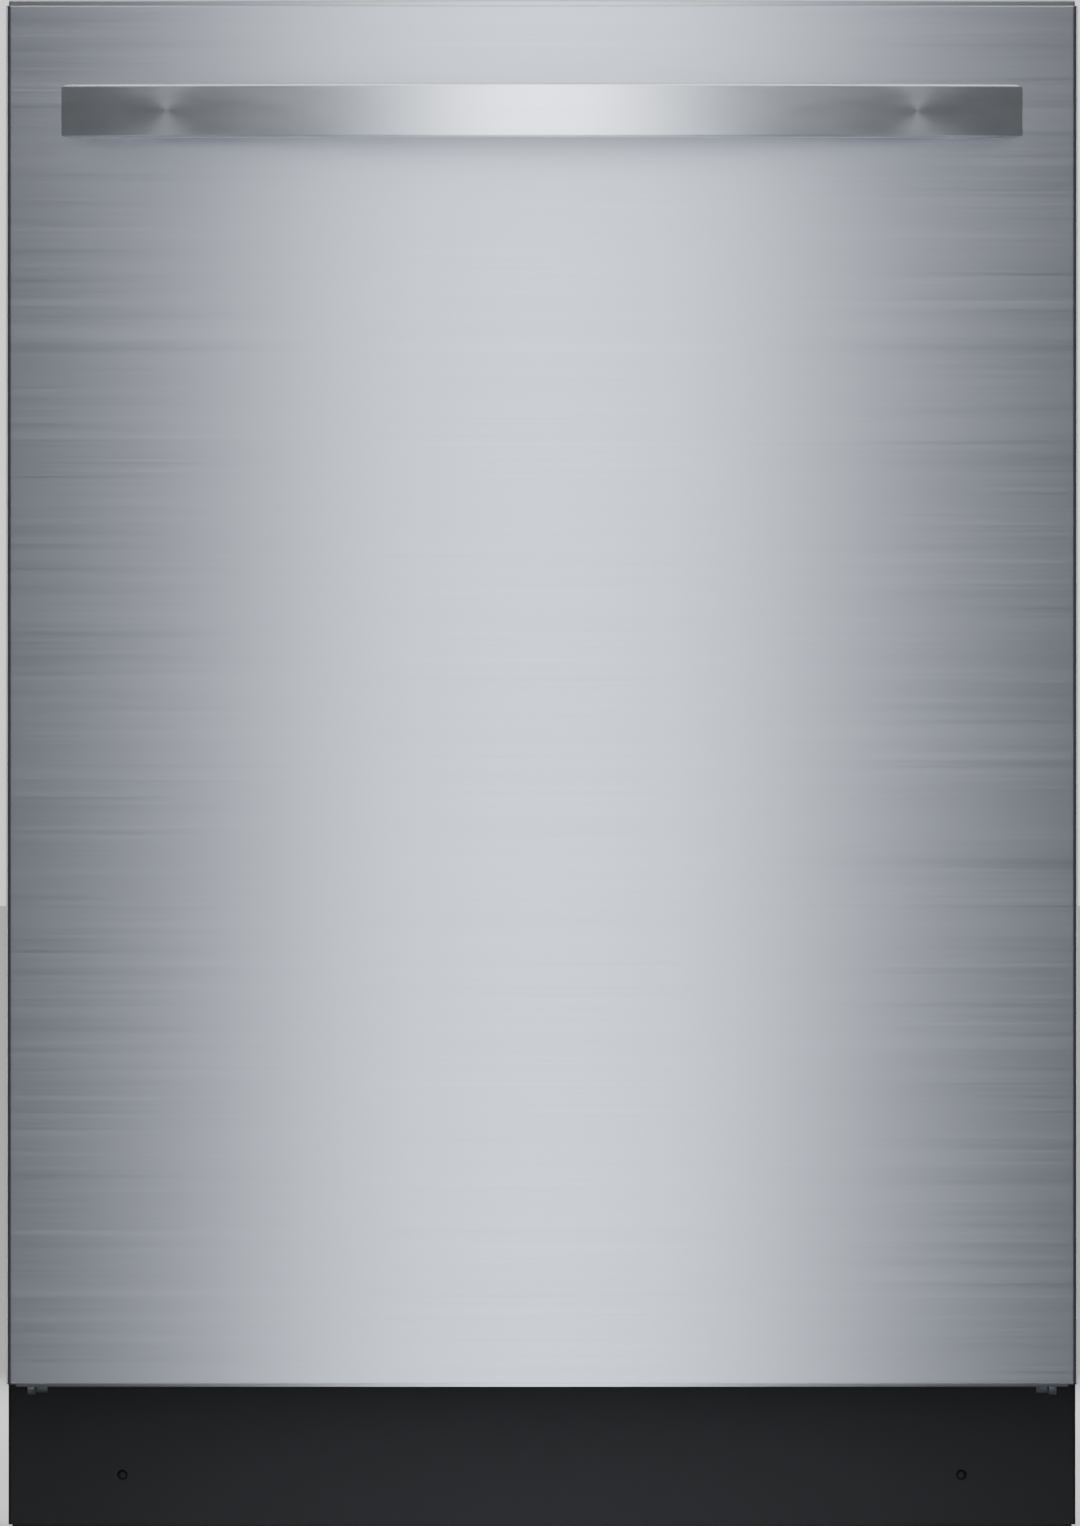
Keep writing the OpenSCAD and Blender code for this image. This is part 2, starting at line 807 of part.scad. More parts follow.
module mounting_brackets()
{
    x = half_w * 0.6;
    z = body_h - 4;
    color(zinc)
        both_sides()
            difference() {
                span([x - 15, x + 15], [frame_y, frame_y + 34], [z, z + 1.2]);
                rod_z(x, frame_y + 22, [z - eps, z + 3], 2.6);
            }
}

// ---- Door ----

module door_outer_panel()
{
    z0 = door_bottom + 1;
    ys = [face_y, face_y + return_d];
    color(steel) {
        translate([0, 0, z0])
            linear_extrude(height = door_top - z0)
                difference() {
                    skin_outline(half_w, ys, edge_r);
                    skin_outline(half_w - sheet_t, [ys[0] + sheet_t, ys[1] + eps],
                        edge_r - sheet_t);
                }
        // Lower edge of the face and its short return.
        span([-half_w + 5, half_w - 5], [ys[0], ys[0] + sheet_t], [door_bottom, z0 + eps]);
        span([-liner_hw, liner_hw], ys, [door_bottom, z0]);
    }
}

// Plan of the door skin: flat face, rounded front corners, open towards +y.
module skin_outline(hw, y, r)
{
    translate([-hw, y[0] + r]) square([2 * hw, y[1] - y[0] - r]);
    translate([-hw + r, y[0]]) square([2 * hw - 2 * r, r + 0.01]);
    for (sx = [-1, 1]) translate([sx * (hw - r), y[0] + r]) circle(r = r);
}

module door_inner_panel()
{
    d = 30;
    color(tub_steel)
        difference() {
            span([-liner_hw, liner_hw], [door_in_y - d, door_in_y], [liner_z, liner_top]);
            span([-liner_hw + sheet_t, liner_hw - sheet_t],
                [door_in_y - d - eps, door_in_y - sheet_t],
                [liner_z + sheet_t, liner_top - sheet_t]);
            span([-dispenser[0] / 2 + 4, dispenser[0] / 2 - 4],
                [door_in_y - 2, door_in_y + eps],
                [dispenser_z + 4, dispenser_z + dispenser[1] - 4]);
        }
}

module door_insulation()
{
    color(felt)
        span([-liner_hw + 4, liner_hw - 4], [face_y + sheet_t, face_y + sheet_t + 8],
            [door_bottom + 12, liner_top - 7]);
}

module door_handle()
{
    foot_in = grip_half - handle_foot;
    color(steel)
        intersection() {
            union() {
                translate([0, handle_arc_y, handle_z])
                    rotate([0, 0, 230])
                        rotate_extrude(angle = 80, $fn = 360)
                            translate([handle_arc_r - handle_t / 2, 0]) handle_section();
                both_sides()
                    intersection() {
                        span([foot_in, grip_half - 6], [front_y, face_y],
                            [handle_z - handle_h / 2 + 2, handle_z + handle_h / 2 - 2]);
                        translate([0, handle_arc_y, handle_z - handle_h])
                            cylinder(r = handle_arc_r - 2, h = 2 * handle_h, $fn = 360);
                    }
            }
            span([-half_w, half_w], [front_y - eps, face_y], [handle_z - 60, handle_z + 60]);
        }
}

// Upright bar section with a slightly crowned outer face, at +x.
module handle_section()
{
    crown_r = (pow(handle_h / 2, 2) + pow(handle_crown, 2)) / (2 * handle_crown);
    intersection() {
        soft_rect(handle_t, handle_h, handle_edge_r);
        translate([handle_t / 2 - crown_r, 0]) circle(r = crown_r, $fn = 360);
    }
}

module control_strip()
{
    x = half_w - 1.5;
    y = [face_y + strip_in, door_in_y];
    t = 3;
    low = liner_top + 1;
    color(steel)
        difference() {
            span([-x, x], y, [low, body_h]);
            span([-x + 2, x - 2], [y[0] + 1.6, y[1] - 2], [low - eps, body_h - t]);
            // The front lip is short, so the skin and the lock fit below it.
            span([-x - eps, x + eps], [y[0] - eps, y[0] + 2], [low - eps, body_h - 15]);
            span([-18, 18], [y[1] - 3, y[1] + eps], [liner_top + 8, liner_top + 24]);
            for (bx = [power_x, start_x, program_x[0], program_x[1]])
                rod_z(bx, strip_mid_y, [body_h - t - eps, body_h + eps],
                    button_r + slide_clear);
            translate([display_x - display[0] / 2, strip_mid_y - display[1] / 2, body_h - 1.2])
                cube([display[0], display[1], 3]);
        }
}

module display_window()
{
    color(black_plastic)
        translate([display_x - display[0] / 2, strip_mid_y - display[1] / 2, body_h - 1.2])
            cube([display[0], display[1], 1.2]);
}

module control_module()
{
    x = [-half_w * 0.84, half_w * 0.84];
    color(black_plastic) {
        difference() {
            span(x, [strip_mid_y - 18, strip_mid_y + 8], [body_h - 17, body_h - 10]);
            span([-40, 40], [strip_mid_y - 19, strip_mid_y + 9], [body_h - 18, body_h - 9]);
        }
        span([-41, 41], [strip_mid_y - 18, strip_mid_y - 12], [body_h - 15, body_h - 12]);
    }
}

module button(x)
{
    flange_z = body_h - 3 - slide_clear;
    color(light_plastic) {
        rod_z(x, strip_mid_y, [flange_z - 2, body_h - 0.2], button_r);
        rod_z(x, strip_mid_y, [flange_z - 2, flange_z], button_r + 1.5);
    }
}

module power_button() { button(power_x); }
module start_button() { button(start_x); }
module program_button_left() { button(program_x[0]); }
module program_button_right() { button(program_x[1]); }

module door_latch()
{
    z = liner_top + 14;
    color(black_plastic)
        difference() {
            span([-35, 35], [door_in_y - 40, door_in_y - 4], [liner_top + 1, body_h - 18]);
            span([-15, 15], [frame_y - 30, door_in_y], [z - 5, z + 5]);
        }
}

module hinge_arms()
{
    color(zinc)
        both_sides() {
            difference() {
                union() {
                    span(hinge_arm_x, [face_y + 5, door_in_y - 9], [pivot_z, pivot_z + 170]);
                    rod_x(hinge_arm_x, pivot_y, pivot_z, 11);
                }
                rod_x([hinge_arm_x[0] - eps, hinge_arm_x[1] + eps], pivot_y, pivot_z,
                    hinge_pin_r + turn_clear);
            }
            // Tab that meets the side of the inner panel.
            span([liner_hw, hinge_arm_x[0] + eps], [door_in_y - 25, door_in_y - 12],
                [pivot_z + 50, pivot_z + 160]);
        }
}

module door_bottom_seal()
{
    color(rubber)
        span([-tub_hw + 12, tub_hw - 12], [door_in_y, door_in_y + door_gap - 0.5],
            [pivot_z + 14, pivot_z + 21]);
}

module detergent_dispenser()
{
    depth = 36;
    color(light_plastic)
        difference() {
            union() {
                translate([0, face_out_y, dispenser_z + dispenser[1] / 2])
                    rotate([90, 0, 0])
                        linear_extrude(height = dispenser_out)
                            soft_rect(dispenser[0], dispenser[1], 10);
                span([-dispenser[0] / 2 + 5, dispenser[0] / 2 - 5],
                    [door_in_y - depth, door_in_y + eps],
                    [dispenser_z + 5, dispenser_z + dispenser[1] - 5]);
                // Guides above and below the lid.
                for (z = [lid_z[0] - 5, lid_z[1] + slide_clear])
                    span([lid_x[0] - 4, 80], [face_out_y - eps, face_out_y + 2.5],
                        [z, z + 4.5]);
            }
            // Detergent cup.
            span([lid_x[0] + 6, lid_x[1] - 8], [door_in_y - 26, face_out_y + 5],
                [lid_z[0] + 6, lid_z[1] - 6]);
            // Lidless prewash pocket.
            span([30, 78], [door_in_y - 2, face_out_y - 1.5 + 9],
                [dispenser_z + 24, dispenser_z + 60]);
            rod_y(cap_at[0], [door_in_y - 20, face_out_y + eps], cap_at[1], 8 + turn_clear);
        }
}

module dispenser_lid()
{
    color(grey_plastic) {
        span(lid_x, [face_out_y + 0.3, face_out_y + 2.3], lid_z);
        span([lid_x[1] - 14, lid_x[1] - 6], [face_out_y + 2, face_out_y + 4.3],
            [lid_z[0] + 20, lid_z[1] - 20]);
    }
}

module rinse_aid_cap()
{
    color(grey_plastic)
        difference() {
            union() {
                rod_y(cap_at[0], [door_in_y - 12, face_out_y + 1], cap_at[1], 8);
                rod_y(cap_at[0], [face_out_y + 0.3, face_out_y + 4], cap_at[1], cap_r);
            }
            for (s = [-1, 1])
                translate([cap_at[0] + s * 9, face_out_y + 4, cap_at[1]])
                    cube([9, 5, 2 * cap_r], center = true);
        }
}

// ---- Racks ----

// Upright wires and cross wires of the side walls of a rack.
module side_walls(hw, y, z, rows)
{
    both_sides() {
        for (i = [0 : wires_across - 1])
            wire_z(hw, spread(y[0], y[1], wires_across, i), [z[0], z[1]]);
        for (h = rows) wire_y(hw, [y[0], y[1]], h);
    }
}

// Wires of a rack floor: the ones across below, the ones along above.
module floor_wires(hw, y, z)
{
    for (i = [0 : wires_across - 1])
        wire_x([-hw, hw], spread(y[0], y[1], wires_across, i), z);
    for (i = [0 : wires_along - 1])
        wire_y(spread(-hw + 20, hw - 20, wires_along, i), [y[0], y[1]], z + wire_lift);
}

// Upright wall across the rack at one y.
module end_wall(hw, y, z, rows)
{
    for (i = [0 : wires_along - 1])
        wire_z(spread(-hw + 20, hw - 20, wires_along, i), y, [z[0], z[1]]);
    for (h = rows) wire_x([-hw, hw], y, h);
}

module rim(hw, y, z)
{
    for (wy = y) wire_x([-hw - rim_r / 2, hw + rim_r / 2], wy, z, rim_r);
    for (sx = [-1, 1]) wire_y(sx * hw, [y[0] - rim_r / 2, y[1] + rim_r / 2], z, rim_r);
}

module lower_rack()
{
    z = lower_rack_z;
    mid = z + lower_rack_h / 2;
    lean = atan((floor_front - rack_front) / lower_rack_h);
    lean_len = sqrt(pow(floor_front - rack_front, 2) + pow(lower_rack_h, 2));
    mid_front = (floor_front + rack_front) / 2;
    color(coated_wire) {
        floor_wires(lower_hw, [floor_front, rack_back], z);
        side_walls(lower_hw, [floor_front, rack_back], [z, lower_rim_z], [mid]);
        end_wall(lower_hw, rack_back, [z, lower_rim_z], [mid]);
        for (i = [0 : wires_along - 1])
            translate([spread(-lower_hw + 20, lower_hw - 20, wires_along, i), floor_front, z])
                rotate([lean, 0, 0]) cylinder(r = wire_r, h = lean_len, $fn = 8);
        wire_x([-lower_hw, lower_hw], mid_front, mid);
        both_sides() {
            wire_y(lower_hw, [mid_front, floor_front], mid);
            wire_y(lower_hw, [rack_front, floor_front], lower_rim_z);
        }
        wire_x([-lower_hw, lower_hw], rack_front, lower_rim_z, rim_r);
        wire_x([-lower_hw, lower_hw], rack_back, lower_rim_z, rim_r);
        both_sides() wire_y(lower_hw, [rack_front, rack_back], lower_rim_z, rim_r);
        for (x = [-lower_hw * 0.68, -lower_hw * 0.24]) tine_row(x, z + wire_lift);
    }
}

// Plastic parts that snap over the cross wires: axle holders and tine clips.
module rack_carriers()
{
    z = lower_rack_z;
    groove_r = wire_r + turn_clear;
    color(grey_plastic) {
        both_sides()
            for (y = wheel_ys)
                difference() {
                    union() {
                        span([lower_hw - 6, lower_hw + 3.2], [y - 13, y + 13],
                            [wheel_z - 9, z + 34]);
                        rod_x([lower_hw - 5, wheel_x[1] + 0.5], y, wheel_z, axle_r);
                    }
                    wire_x([lower_hw - 7, lower_hw], y, z, groove_r);
                    wire_z(lower_hw, y, [z - groove_r, z + 35], groove_r);
                }
        for (y = fold_clip_ys)
            difference() {
                span([fold_x - 5.5, fold_x + 5.5], [y - 3.5, y + 3.5], [z - 1, fold_z + 4]);
                rod_y(fold_x, [y - 4.5, y + 4.5], fold_z, groove_r);
                wire_x([fold_x - 7, fold_x + 7], y, z, groove_r);
            }
    }
}

module tine_row(x, z)
{
    for (i = [0 : tines - 1])
        wire_z(x, spread(floor_front + 45, rack_back - 40, tines, i), [z - 1, z + tine_h],
            wire_r * 0.85);
    wire_y(x, [floor_front, rack_back], z);
}

module fold_tines()
{
    color(coated_wire) {
        rod_y(fold_x, [floor_front + 26, rack_back - 22], fold_z, wire_r);
        for (i = [0 : tines - 1])
            translate([fold_x, fold_tine_y(i), fold_z])
                cylinder(r = wire_r * 0.85, h = tine_h, $fn = 8);
    }
}

// Tines stand between the clips, never in one.
function fold_tine_y(i) =
    i < tines / 2
        ? spread(fold_clip_ys[0] + 15, fold_clip_ys[1] - 15, tines / 2, i)
        : spread(fold_clip_ys[1] + 16, fold_clip_ys[2] - 15, tines / 2, i - tines / 2);

module wheels(y)
{
    color(grey_plastic)
        both_sides()
            difference() {
                union() {
                    rod_x([wheel_x[0] + 3, wheel_x[1] - 3], y, wheel_z, wheel_r - 2);
                    difference() {
                        rod_x(wheel_x, y, wheel_z, wheel_r);
                        rod_x([wheel_x[0] - eps, wheel_x[1] + eps], y, wheel_z, wheel_r - 3);
                    }
                    rod_x(wheel_x, y, wheel_z, axle_r + 2.5);
                }
                rod_x([wheel_x[0] - eps, wheel_x[1] + eps], y, wheel_z, axle_r + turn_clear);
            }
}

module lower_front_wheels() { wheels(wheel_ys[0]); }
module lower_rear_wheels() { wheels(wheel_ys[1]); }

module cutlery_basket()
{
    t = 2;
    cells = 3;
    cell = (basket[1] - t) / cells;
    x_mid = (basket_x[0] + basket_x[1]) / 2;
    y_mid = (basket_y[0] + basket_y[1]) / 2;
    top = basket_z + basket[2];
    color(grey_plastic) {
        difference() {
            span(basket_x, basket_y, [basket_z, top]);
            for (i = [0 : cells - 1], j = [0, 1])
                span([basket_x[0] + t + j * (basket[0] / 2 - t / 2),
                        basket_x[0] + basket[0] / 2 - t / 2 + j * (basket[0] / 2 - t / 2)],
                    [basket_y[0] + t + i * cell, basket_y[0] + (i + 1) * cell],
                    [basket_z + t, top + eps]);
            // Drain slots through the long walls.
            for (i = [0 : 4 * cells - 1])
                span([basket_x[0] - eps, basket_x[1] + eps],
                    [basket_y[0] + (i + 0.35) * cell / 4, basket_y[0] + (i + 0.75) * cell / 4],
                    [basket_z + 14, top - 30]);
        }
        // Carrying handle.
        difference() {
            span([x_mid - 3, x_mid + 3], [y_mid - 60, y_mid + 60], [top - 60, top + 76]);
            span([x_mid - 4, x_mid + 4], [y_mid - 50, y_mid + 50], [top - 61, top + 64]);
        }
    }
}

module slider_rails(hw, z)
{
    color(steel)
        both_sides() {
            span(slider_x, rail_y, [z - rail_h / 2 + 4, z + rail_h / 2 - 4]);
            for (y = [rail_y[0] + 60, rail_y[1] - 80])
                span([hw - wire_r, slider_x[0] + eps], [y, y + 30], [z - 6, z + 6]);
        }
}

module upper_rack()
{
    z = upper_rack_z;
    mid = z + upper_rack_h / 2;
    y = [rack_front + 5, rack_back];
    color(coated_wire) {
        floor_wires(upper_hw, y, z);
        side_walls(upper_hw, y, [z, upper_rim_z], [mid]);
        end_wall(upper_hw, y[0], [z, upper_rim_z], [mid]);
        end_wall(upper_hw, y[1], [z, upper_rim_z], [mid]);
        rim(upper_hw, y, upper_rim_z);
        for (x = [-upper_hw * 0.4, upper_hw * 0.4])
            for (i = [0 : tines - 1])
                wire_z(x, spread(y[0] + 50, y[1] - 40, tines, i), [z, z + 48], wire_r * 0.85);
        for (x = [-upper_hw * 0.4, upper_hw * 0.4]) wire_y(x, [y[0], y[1]], z + wire_lift);
    }
    slider_rails(upper_hw, upper_rail_z);
    // Water manifold with the pin of the middle spray arm.
    color(grey_plastic) {
        rod_y(0, [arm_y + 4, rack_back + 2], manifold_z, pipe_r);
        rod_z(0, arm_y, [middle_arm_z + arm_t + 1, z + wire_lift], 14);
        rod_z(0, arm_y, [middle_arm_z - 1.5, middle_arm_z + arm_t + 2], arm_pin_r);
        rod_z(0, arm_y, [middle_arm_z - 3, middle_arm_z - slide_clear], nut_r);
    }
}

module upper_rails_middle()
{
    color(steel)
        both_sides()
            difference() {
                span(middle_x, rail_y,
                    [upper_rail_z - rail_h / 2 + 2, upper_rail_z + rail_h / 2 - 2]);
                span([middle_x[0] - eps, middle_x[0] + 2], [rail_y[0] - eps, rail_y[1] + eps],
                    [upper_rail_z - rail_h / 2 + 4, upper_rail_z + rail_h / 2 - 4]);
            }
}

module third_rack()
{
    y = [rack_front + 5, rack_back];
    along = 2 * wires_along - 1;
    top = third_z + third_rack_h;
    r = wire_r * 0.8;
    color(coated_wire) {
        for (i = [0 : 5]) wire_x([-third_hw, third_hw], spread(y[0], y[1], 6, i), third_z, r);
        for (i = [0 : along - 1])
            wire_y(spread(-third_hw + 12, third_hw - 12, along, i), [y[0], y[1]],
                third_z + 2 * r - stack, r);
        for (sx = [-1, 1], i = [0 : 5])
            wire_z(sx * third_hw, spread(y[0], y[1], 6, i), [third_z, top], r);
        for (wy = y, i = [0 : 2 : along - 1])
            wire_z(spread(-third_hw + 12, third_hw - 12, along, i), wy, [third_z, top], r);
        rim(third_hw, y, top);
    }
    color(steel)
        both_sides() {
            span(middle_x, rail_y,
                [third_rail_z - rail_h / 2 + 3, third_rail_z + rail_h / 2 - 3]);
            for (wy = [rail_y[0] + 60, rail_y[1] - 80])
                span([third_hw - r, middle_x[0] + eps], [wy, wy + 30],
                    [third_rail_z - 6, third_rail_z + 6]);
        }
}

// ---- Spray arms ----

module spray_arm(z, nozzle_z)
{
    color(light_plastic)
        translate([0, arm_y, z])
            difference() {
                union() {
                    linear_extrude(height = arm_t)
                        soft_rect(2 * arm_r, arm_w, arm_w / 2 - 1);
                    cylinder(r = hub_r, h = arm_t);
                }
                // Water channels on both sides of the hub.
                for (s = [-1, 1])
                    translate([s * (arm_r + hub_r - 4) / 2, 0, wall_t])
                        linear_extrude(height = arm_t - 2 * wall_t)
                            soft_rect(arm_r - hub_r - 6, arm_w - 2 * wall_t, arm_w / 2 - 5);
                translate([0, 0, -eps]) cylinder(r = arm_pin_r + turn_clear, h = arm_t + 2);
                for (s = [-1, 1], i = [1 : 4])
                    translate([s * (hub_r + 8 + i * (arm_r - hub_r - 30) / 4), s * 8, nozzle_z])
                        cylinder(r = 2, h = wall_t + 2);
            }
}

module lower_spray_arm() { spray_arm(lower_arm_z, arm_t - wall_t - 1); }
module middle_spray_arm() { spray_arm(middle_arm_z, arm_t - wall_t - 1); }
module upper_spray_arm() { spray_arm(upper_arm_z, -1); }

// ---- Assembly ----

base_pan();
tub_wrap();
tub_back();
tub_floor();
front_frame();
door_gasket();
side_frames();
top_crossbar();
rear_cover();
insulation();
sump();
filter_plate();
filter_cup();
circulation_pump();
drain_pump();
inlet_valve();
water_guide();
feed_tube();
toe_kick();
toe_plate();
toe_kick_screws();
junction_box();
mounting_brackets();
latch_strike();
fixed_rails();
balance_springs();
balance_rods();
foot_front_left();
foot_front_right();
foot_rear_left();
foot_rear_right();
door_outer_panel();
door_inner_panel();
door_insulation();
door_handle();
control_strip();
display_window();
control_module();
detergent_dispenser();
door_latch();
hinge_arms();
door_bottom_seal();
dispenser_lid();
rinse_aid_cap();
power_button();
start_button();
program_button_left();
program_button_right();
lower_rack();
rack_carriers();
lower_front_wheels();
lower_rear_wheels();
fold_tines();
cutlery_basket();
upper_rack();
upper_rails_middle();
third_rack();
lower_spray_arm();
middle_spray_arm();
upper_spray_arm();
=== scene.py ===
"""Looks of the built-in dishwasher: camera, light, materials and detailed pieces over the CAD frame."""
import json
import math

import bmesh
import bpy
from mathutils import Matrix, Vector


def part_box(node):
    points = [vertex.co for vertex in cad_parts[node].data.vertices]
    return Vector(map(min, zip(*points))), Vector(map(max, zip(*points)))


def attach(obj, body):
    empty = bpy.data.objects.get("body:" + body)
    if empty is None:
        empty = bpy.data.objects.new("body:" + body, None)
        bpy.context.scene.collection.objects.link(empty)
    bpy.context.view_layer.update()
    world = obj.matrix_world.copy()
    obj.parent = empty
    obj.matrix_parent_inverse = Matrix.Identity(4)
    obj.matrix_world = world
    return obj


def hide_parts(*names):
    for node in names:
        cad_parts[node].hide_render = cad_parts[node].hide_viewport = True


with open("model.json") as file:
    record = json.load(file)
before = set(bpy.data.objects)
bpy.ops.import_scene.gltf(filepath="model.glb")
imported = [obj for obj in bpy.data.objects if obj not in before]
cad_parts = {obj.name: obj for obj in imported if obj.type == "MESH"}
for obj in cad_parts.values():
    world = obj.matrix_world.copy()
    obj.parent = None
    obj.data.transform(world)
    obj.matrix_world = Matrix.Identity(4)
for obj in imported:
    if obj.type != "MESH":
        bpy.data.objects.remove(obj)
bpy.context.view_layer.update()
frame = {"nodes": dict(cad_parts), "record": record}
MM = 0.001


# ---- Camera, backdrop and light ----

FACE_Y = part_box("door_outer_panel")[0].y
SCALE = 0.5578 * MM  # metres a pixel of the 1080 x 1526 frame, in the plane of the door
DISTANCE = 20.0
VIEW_H = 1526 * SCALE
STRIP_D = 0.95  # from the door to the upright strip light in front of it


def make_camera():
    data = bpy.data.cameras.new("camera")
    cam = bpy.data.objects.new("camera", data)
    bpy.context.scene.collection.objects.link(cam)
    cam.location = (-0.0011, FACE_Y - DISTANCE, 0.4355)
    cam.rotation_euler = (math.pi / 2, 0, 0)
    data.sensor_fit = "VERTICAL"
    data.sensor_height = 36
    data.lens = 36 * DISTANCE / VIEW_H
    data.clip_end = 300
    bpy.context.scene.camera = cam


def area(name, at, to, size, power, color=(1, 1, 1)):
    light = bpy.data.lights.new(name, "AREA")
    light.shape = "RECTANGLE"
    light.size, light.size_y = size
    light.energy = power
    light.color = color
    ob = bpy.data.objects.new(name, light)
    bpy.context.scene.collection.objects.link(ob)
    ob.location = at
    ob.rotation_euler = (Vector(to) - Vector(at)).to_track_quat("-Z", "Y").to_euler()
    return ob


def make_world(strength=0.07):
    world = bpy.data.worlds.new("studio")
    bpy.context.scene.world = world
    world.use_nodes = True
    back = world.node_tree.nodes["Background"]
    back.inputs["Color"].default_value = (0.95, 0.97, 1.0, 1)
    back.inputs["Strength"].default_value = strength


def plane(name, corners, mat):
    me = bpy.data.meshes.new(name)
    me.from_pydata(corners, [], [(0, 1, 2, 3)])
    ob = bpy.data.objects.new(name, me)
    bpy.context.scene.collection.objects.link(ob)
    me.materials.append(mat)
    return ob


# ---- Material helpers ----

def new_mat(name, base, rough, metal=0.0):
    m = bpy.data.materials.new(name)
    m.use_nodes = True
    b = m.node_tree.nodes["Principled BSDF"]
    b.inputs["Base Color"].default_value = (*base, 1)
    b.inputs["Roughness"].default_value = rough
    b.inputs["Metallic"].default_value = metal
    return m, m.node_tree, b


def node(t, kind, **values):
    n = t.nodes.new(kind)
    for k, v in values.items():
        if k in n.inputs:
            n.inputs[k].default_value = v
        else:
            setattr(n, k, v)
    return n


def noise(t, scale_xyz, scale=1.0, detail=3.0, rough=0.5):
    """Noise in object space, stretched by scale_xyz."""
    co = node(t, "ShaderNodeTexCoord")
    mp = node(t, "ShaderNodeMapping")
    mp.inputs["Scale"].default_value = scale_xyz
    n = node(t, "ShaderNodeTexNoise", Scale=scale, Detail=detail, Roughness=rough)
    t.links.new(co.outputs["Object"], mp.inputs["Vector"])
    t.links.new(mp.outputs["Vector"], n.inputs["Vector"])
    return n


def ramp(t, source, stops):
    r = node(t, "ShaderNodeValToRGB")
    els = r.color_ramp.elements
    els[0].position, els[0].color = stops[0][0], (*stops[0][1], 1)
    els[1].position, els[1].color = stops[-1][0], (*stops[-1][1], 1)
    for p, c in stops[1:-1]:
        e = els.new(p)
        e.color = (*c, 1)
    t.links.new(source, r.inputs["Fac"])
    return r


def to_range(t, source, lo, hi):
    r = node(t, "ShaderNodeMapRange")
    r.inputs["From Min"].default_value = 0.3
    r.inputs["From Max"].default_value = 0.7
    r.inputs["To Min"].default_value = lo
    r.inputs["To Max"].default_value = hi
    t.links.new(source, r.inputs["Value"])
    return r


def bump(t, b, source, strength, distance):
    n = node(t, "ShaderNodeBump", Strength=strength, Distance=distance)
    t.links.new(source, n.inputs["Height"])
    t.links.new(n.outputs["Normal"], b.inputs["Normal"])
    return n


def shade(c, f):
    return tuple(min(1.0, x * f) for x in c)


def brushed(name, base, rough, along, grain=0.05, depth=0.00002, aniso=0.0):
    """Sheet metal brushed along one axis: long fine streaks in colour, gloss and height."""
    m, t, b = new_mat(name, base, rough, 1.0)
    long, fine = 6.0, 1500.0
    s = [long if a == along else fine for a in "xyz"]
    n = noise(t, s, 1.0, 4.0, 0.65)
    wide = noise(t, [v / 12 for v in s], 1.0, 2.0, 0.5)
    mix = node(t, "ShaderNodeMix", data_type="FLOAT", Factor=0.35)
    t.links.new(n.outputs["Fac"], mix.inputs[2])
    t.links.new(wide.outputs["Fac"], mix.inputs[3])
    col = ramp(t, mix.outputs[0], [(0.3, shade(base, 1 - grain)), (0.7, shade(base, 1 + grain))])
    t.links.new(col.outputs["Color"], b.inputs["Base Color"])
    r = to_range(t, mix.outputs[0], rough * 0.9, rough * 1.12)
    t.links.new(r.outputs["Result"], b.inputs["Roughness"])
    bump(t, b, n.outputs["Fac"], 0.25, depth)
    if aniso:
        b.inputs["Anisotropic"].default_value = aniso
        b.inputs["Anisotropic Rotation"].default_value = 0.25
        tg = node(t, "ShaderNodeTangent", direction_type="RADIAL", axis="Z")
        t.links.new(tg.outputs["Tangent"], b.inputs["Tangent"])
    return m


def moulded(name, base, rough, grain_mm=0.5, spread=0.08, depth=0.00004, coat=0.0):
    """Moulded plastic or paint: fine leather-like grain with a little colour drift."""
    m, t, b = new_mat(name, base, rough)
    fine = noise(t, [1000 / grain_mm] * 3, 1.0, 2.0, 0.5)
    wide = noise(t, [14] * 3, 1.0, 3.0, 0.5)
    col = ramp(t, wide.outputs["Fac"], [(0.3, shade(base, 1 - spread)), (0.7, shade(base, 1 + spread))])
    t.links.new(col.outputs["Color"], b.inputs["Base Color"])
    r = to_range(t, fine.outputs["Fac"], rough * 0.88, min(1, rough * 1.12))
    t.links.new(r.outputs["Result"], b.inputs["Roughness"])
    bump(t, b, fine.outputs["Fac"], 0.3, depth)
    b.inputs["Coat Weight"].default_value = coat
    b.inputs["Coat Roughness"].default_value = 0.15
    return m


def galvanised(name, base):
    """Zinc coated sheet with its crystal spangle."""
    m, t, b = new_mat(name, base, 0.42, 1.0)
    co = node(t, "ShaderNodeTexCoord")
    v = node(t, "ShaderNodeTexVoronoi", Scale=130.0)
    t.links.new(co.outputs["Object"], v.inputs["Vector"])
    n = noise(t, [40] * 3, 1.0, 4.0, 0.6)
    mix = node(t, "ShaderNodeMix", data_type="RGBA", Factor=0.3)
    sep = node(t, "ShaderNodeSeparateColor")
    t.links.new(v.outputs["Color"], sep.inputs["Color"])
    col = ramp(t, sep.outputs[0], [(0.0, shade(base, 0.86)), (1.0, shade(base, 1.12))])
    dirt = ramp(t, n.outputs["Fac"], [(0.3, shade(base, 0.85)), (0.7, base)])
    t.links.new(col.outputs["Color"], mix.inputs[6])
    t.links.new(dirt.outputs["Color"], mix.inputs[7])
    t.links.new(mix.outputs[2], b.inputs["Base Color"])
    r = node(t, "ShaderNodeMapRange")
    r.inputs["To Min"].default_value = 0.34
    r.inputs["To Max"].default_value = 0.52
    t.links.new(sep.outputs[1], r.inputs["Value"])
    t.links.new(r.outputs["Result"], b.inputs["Roughness"])
    return m


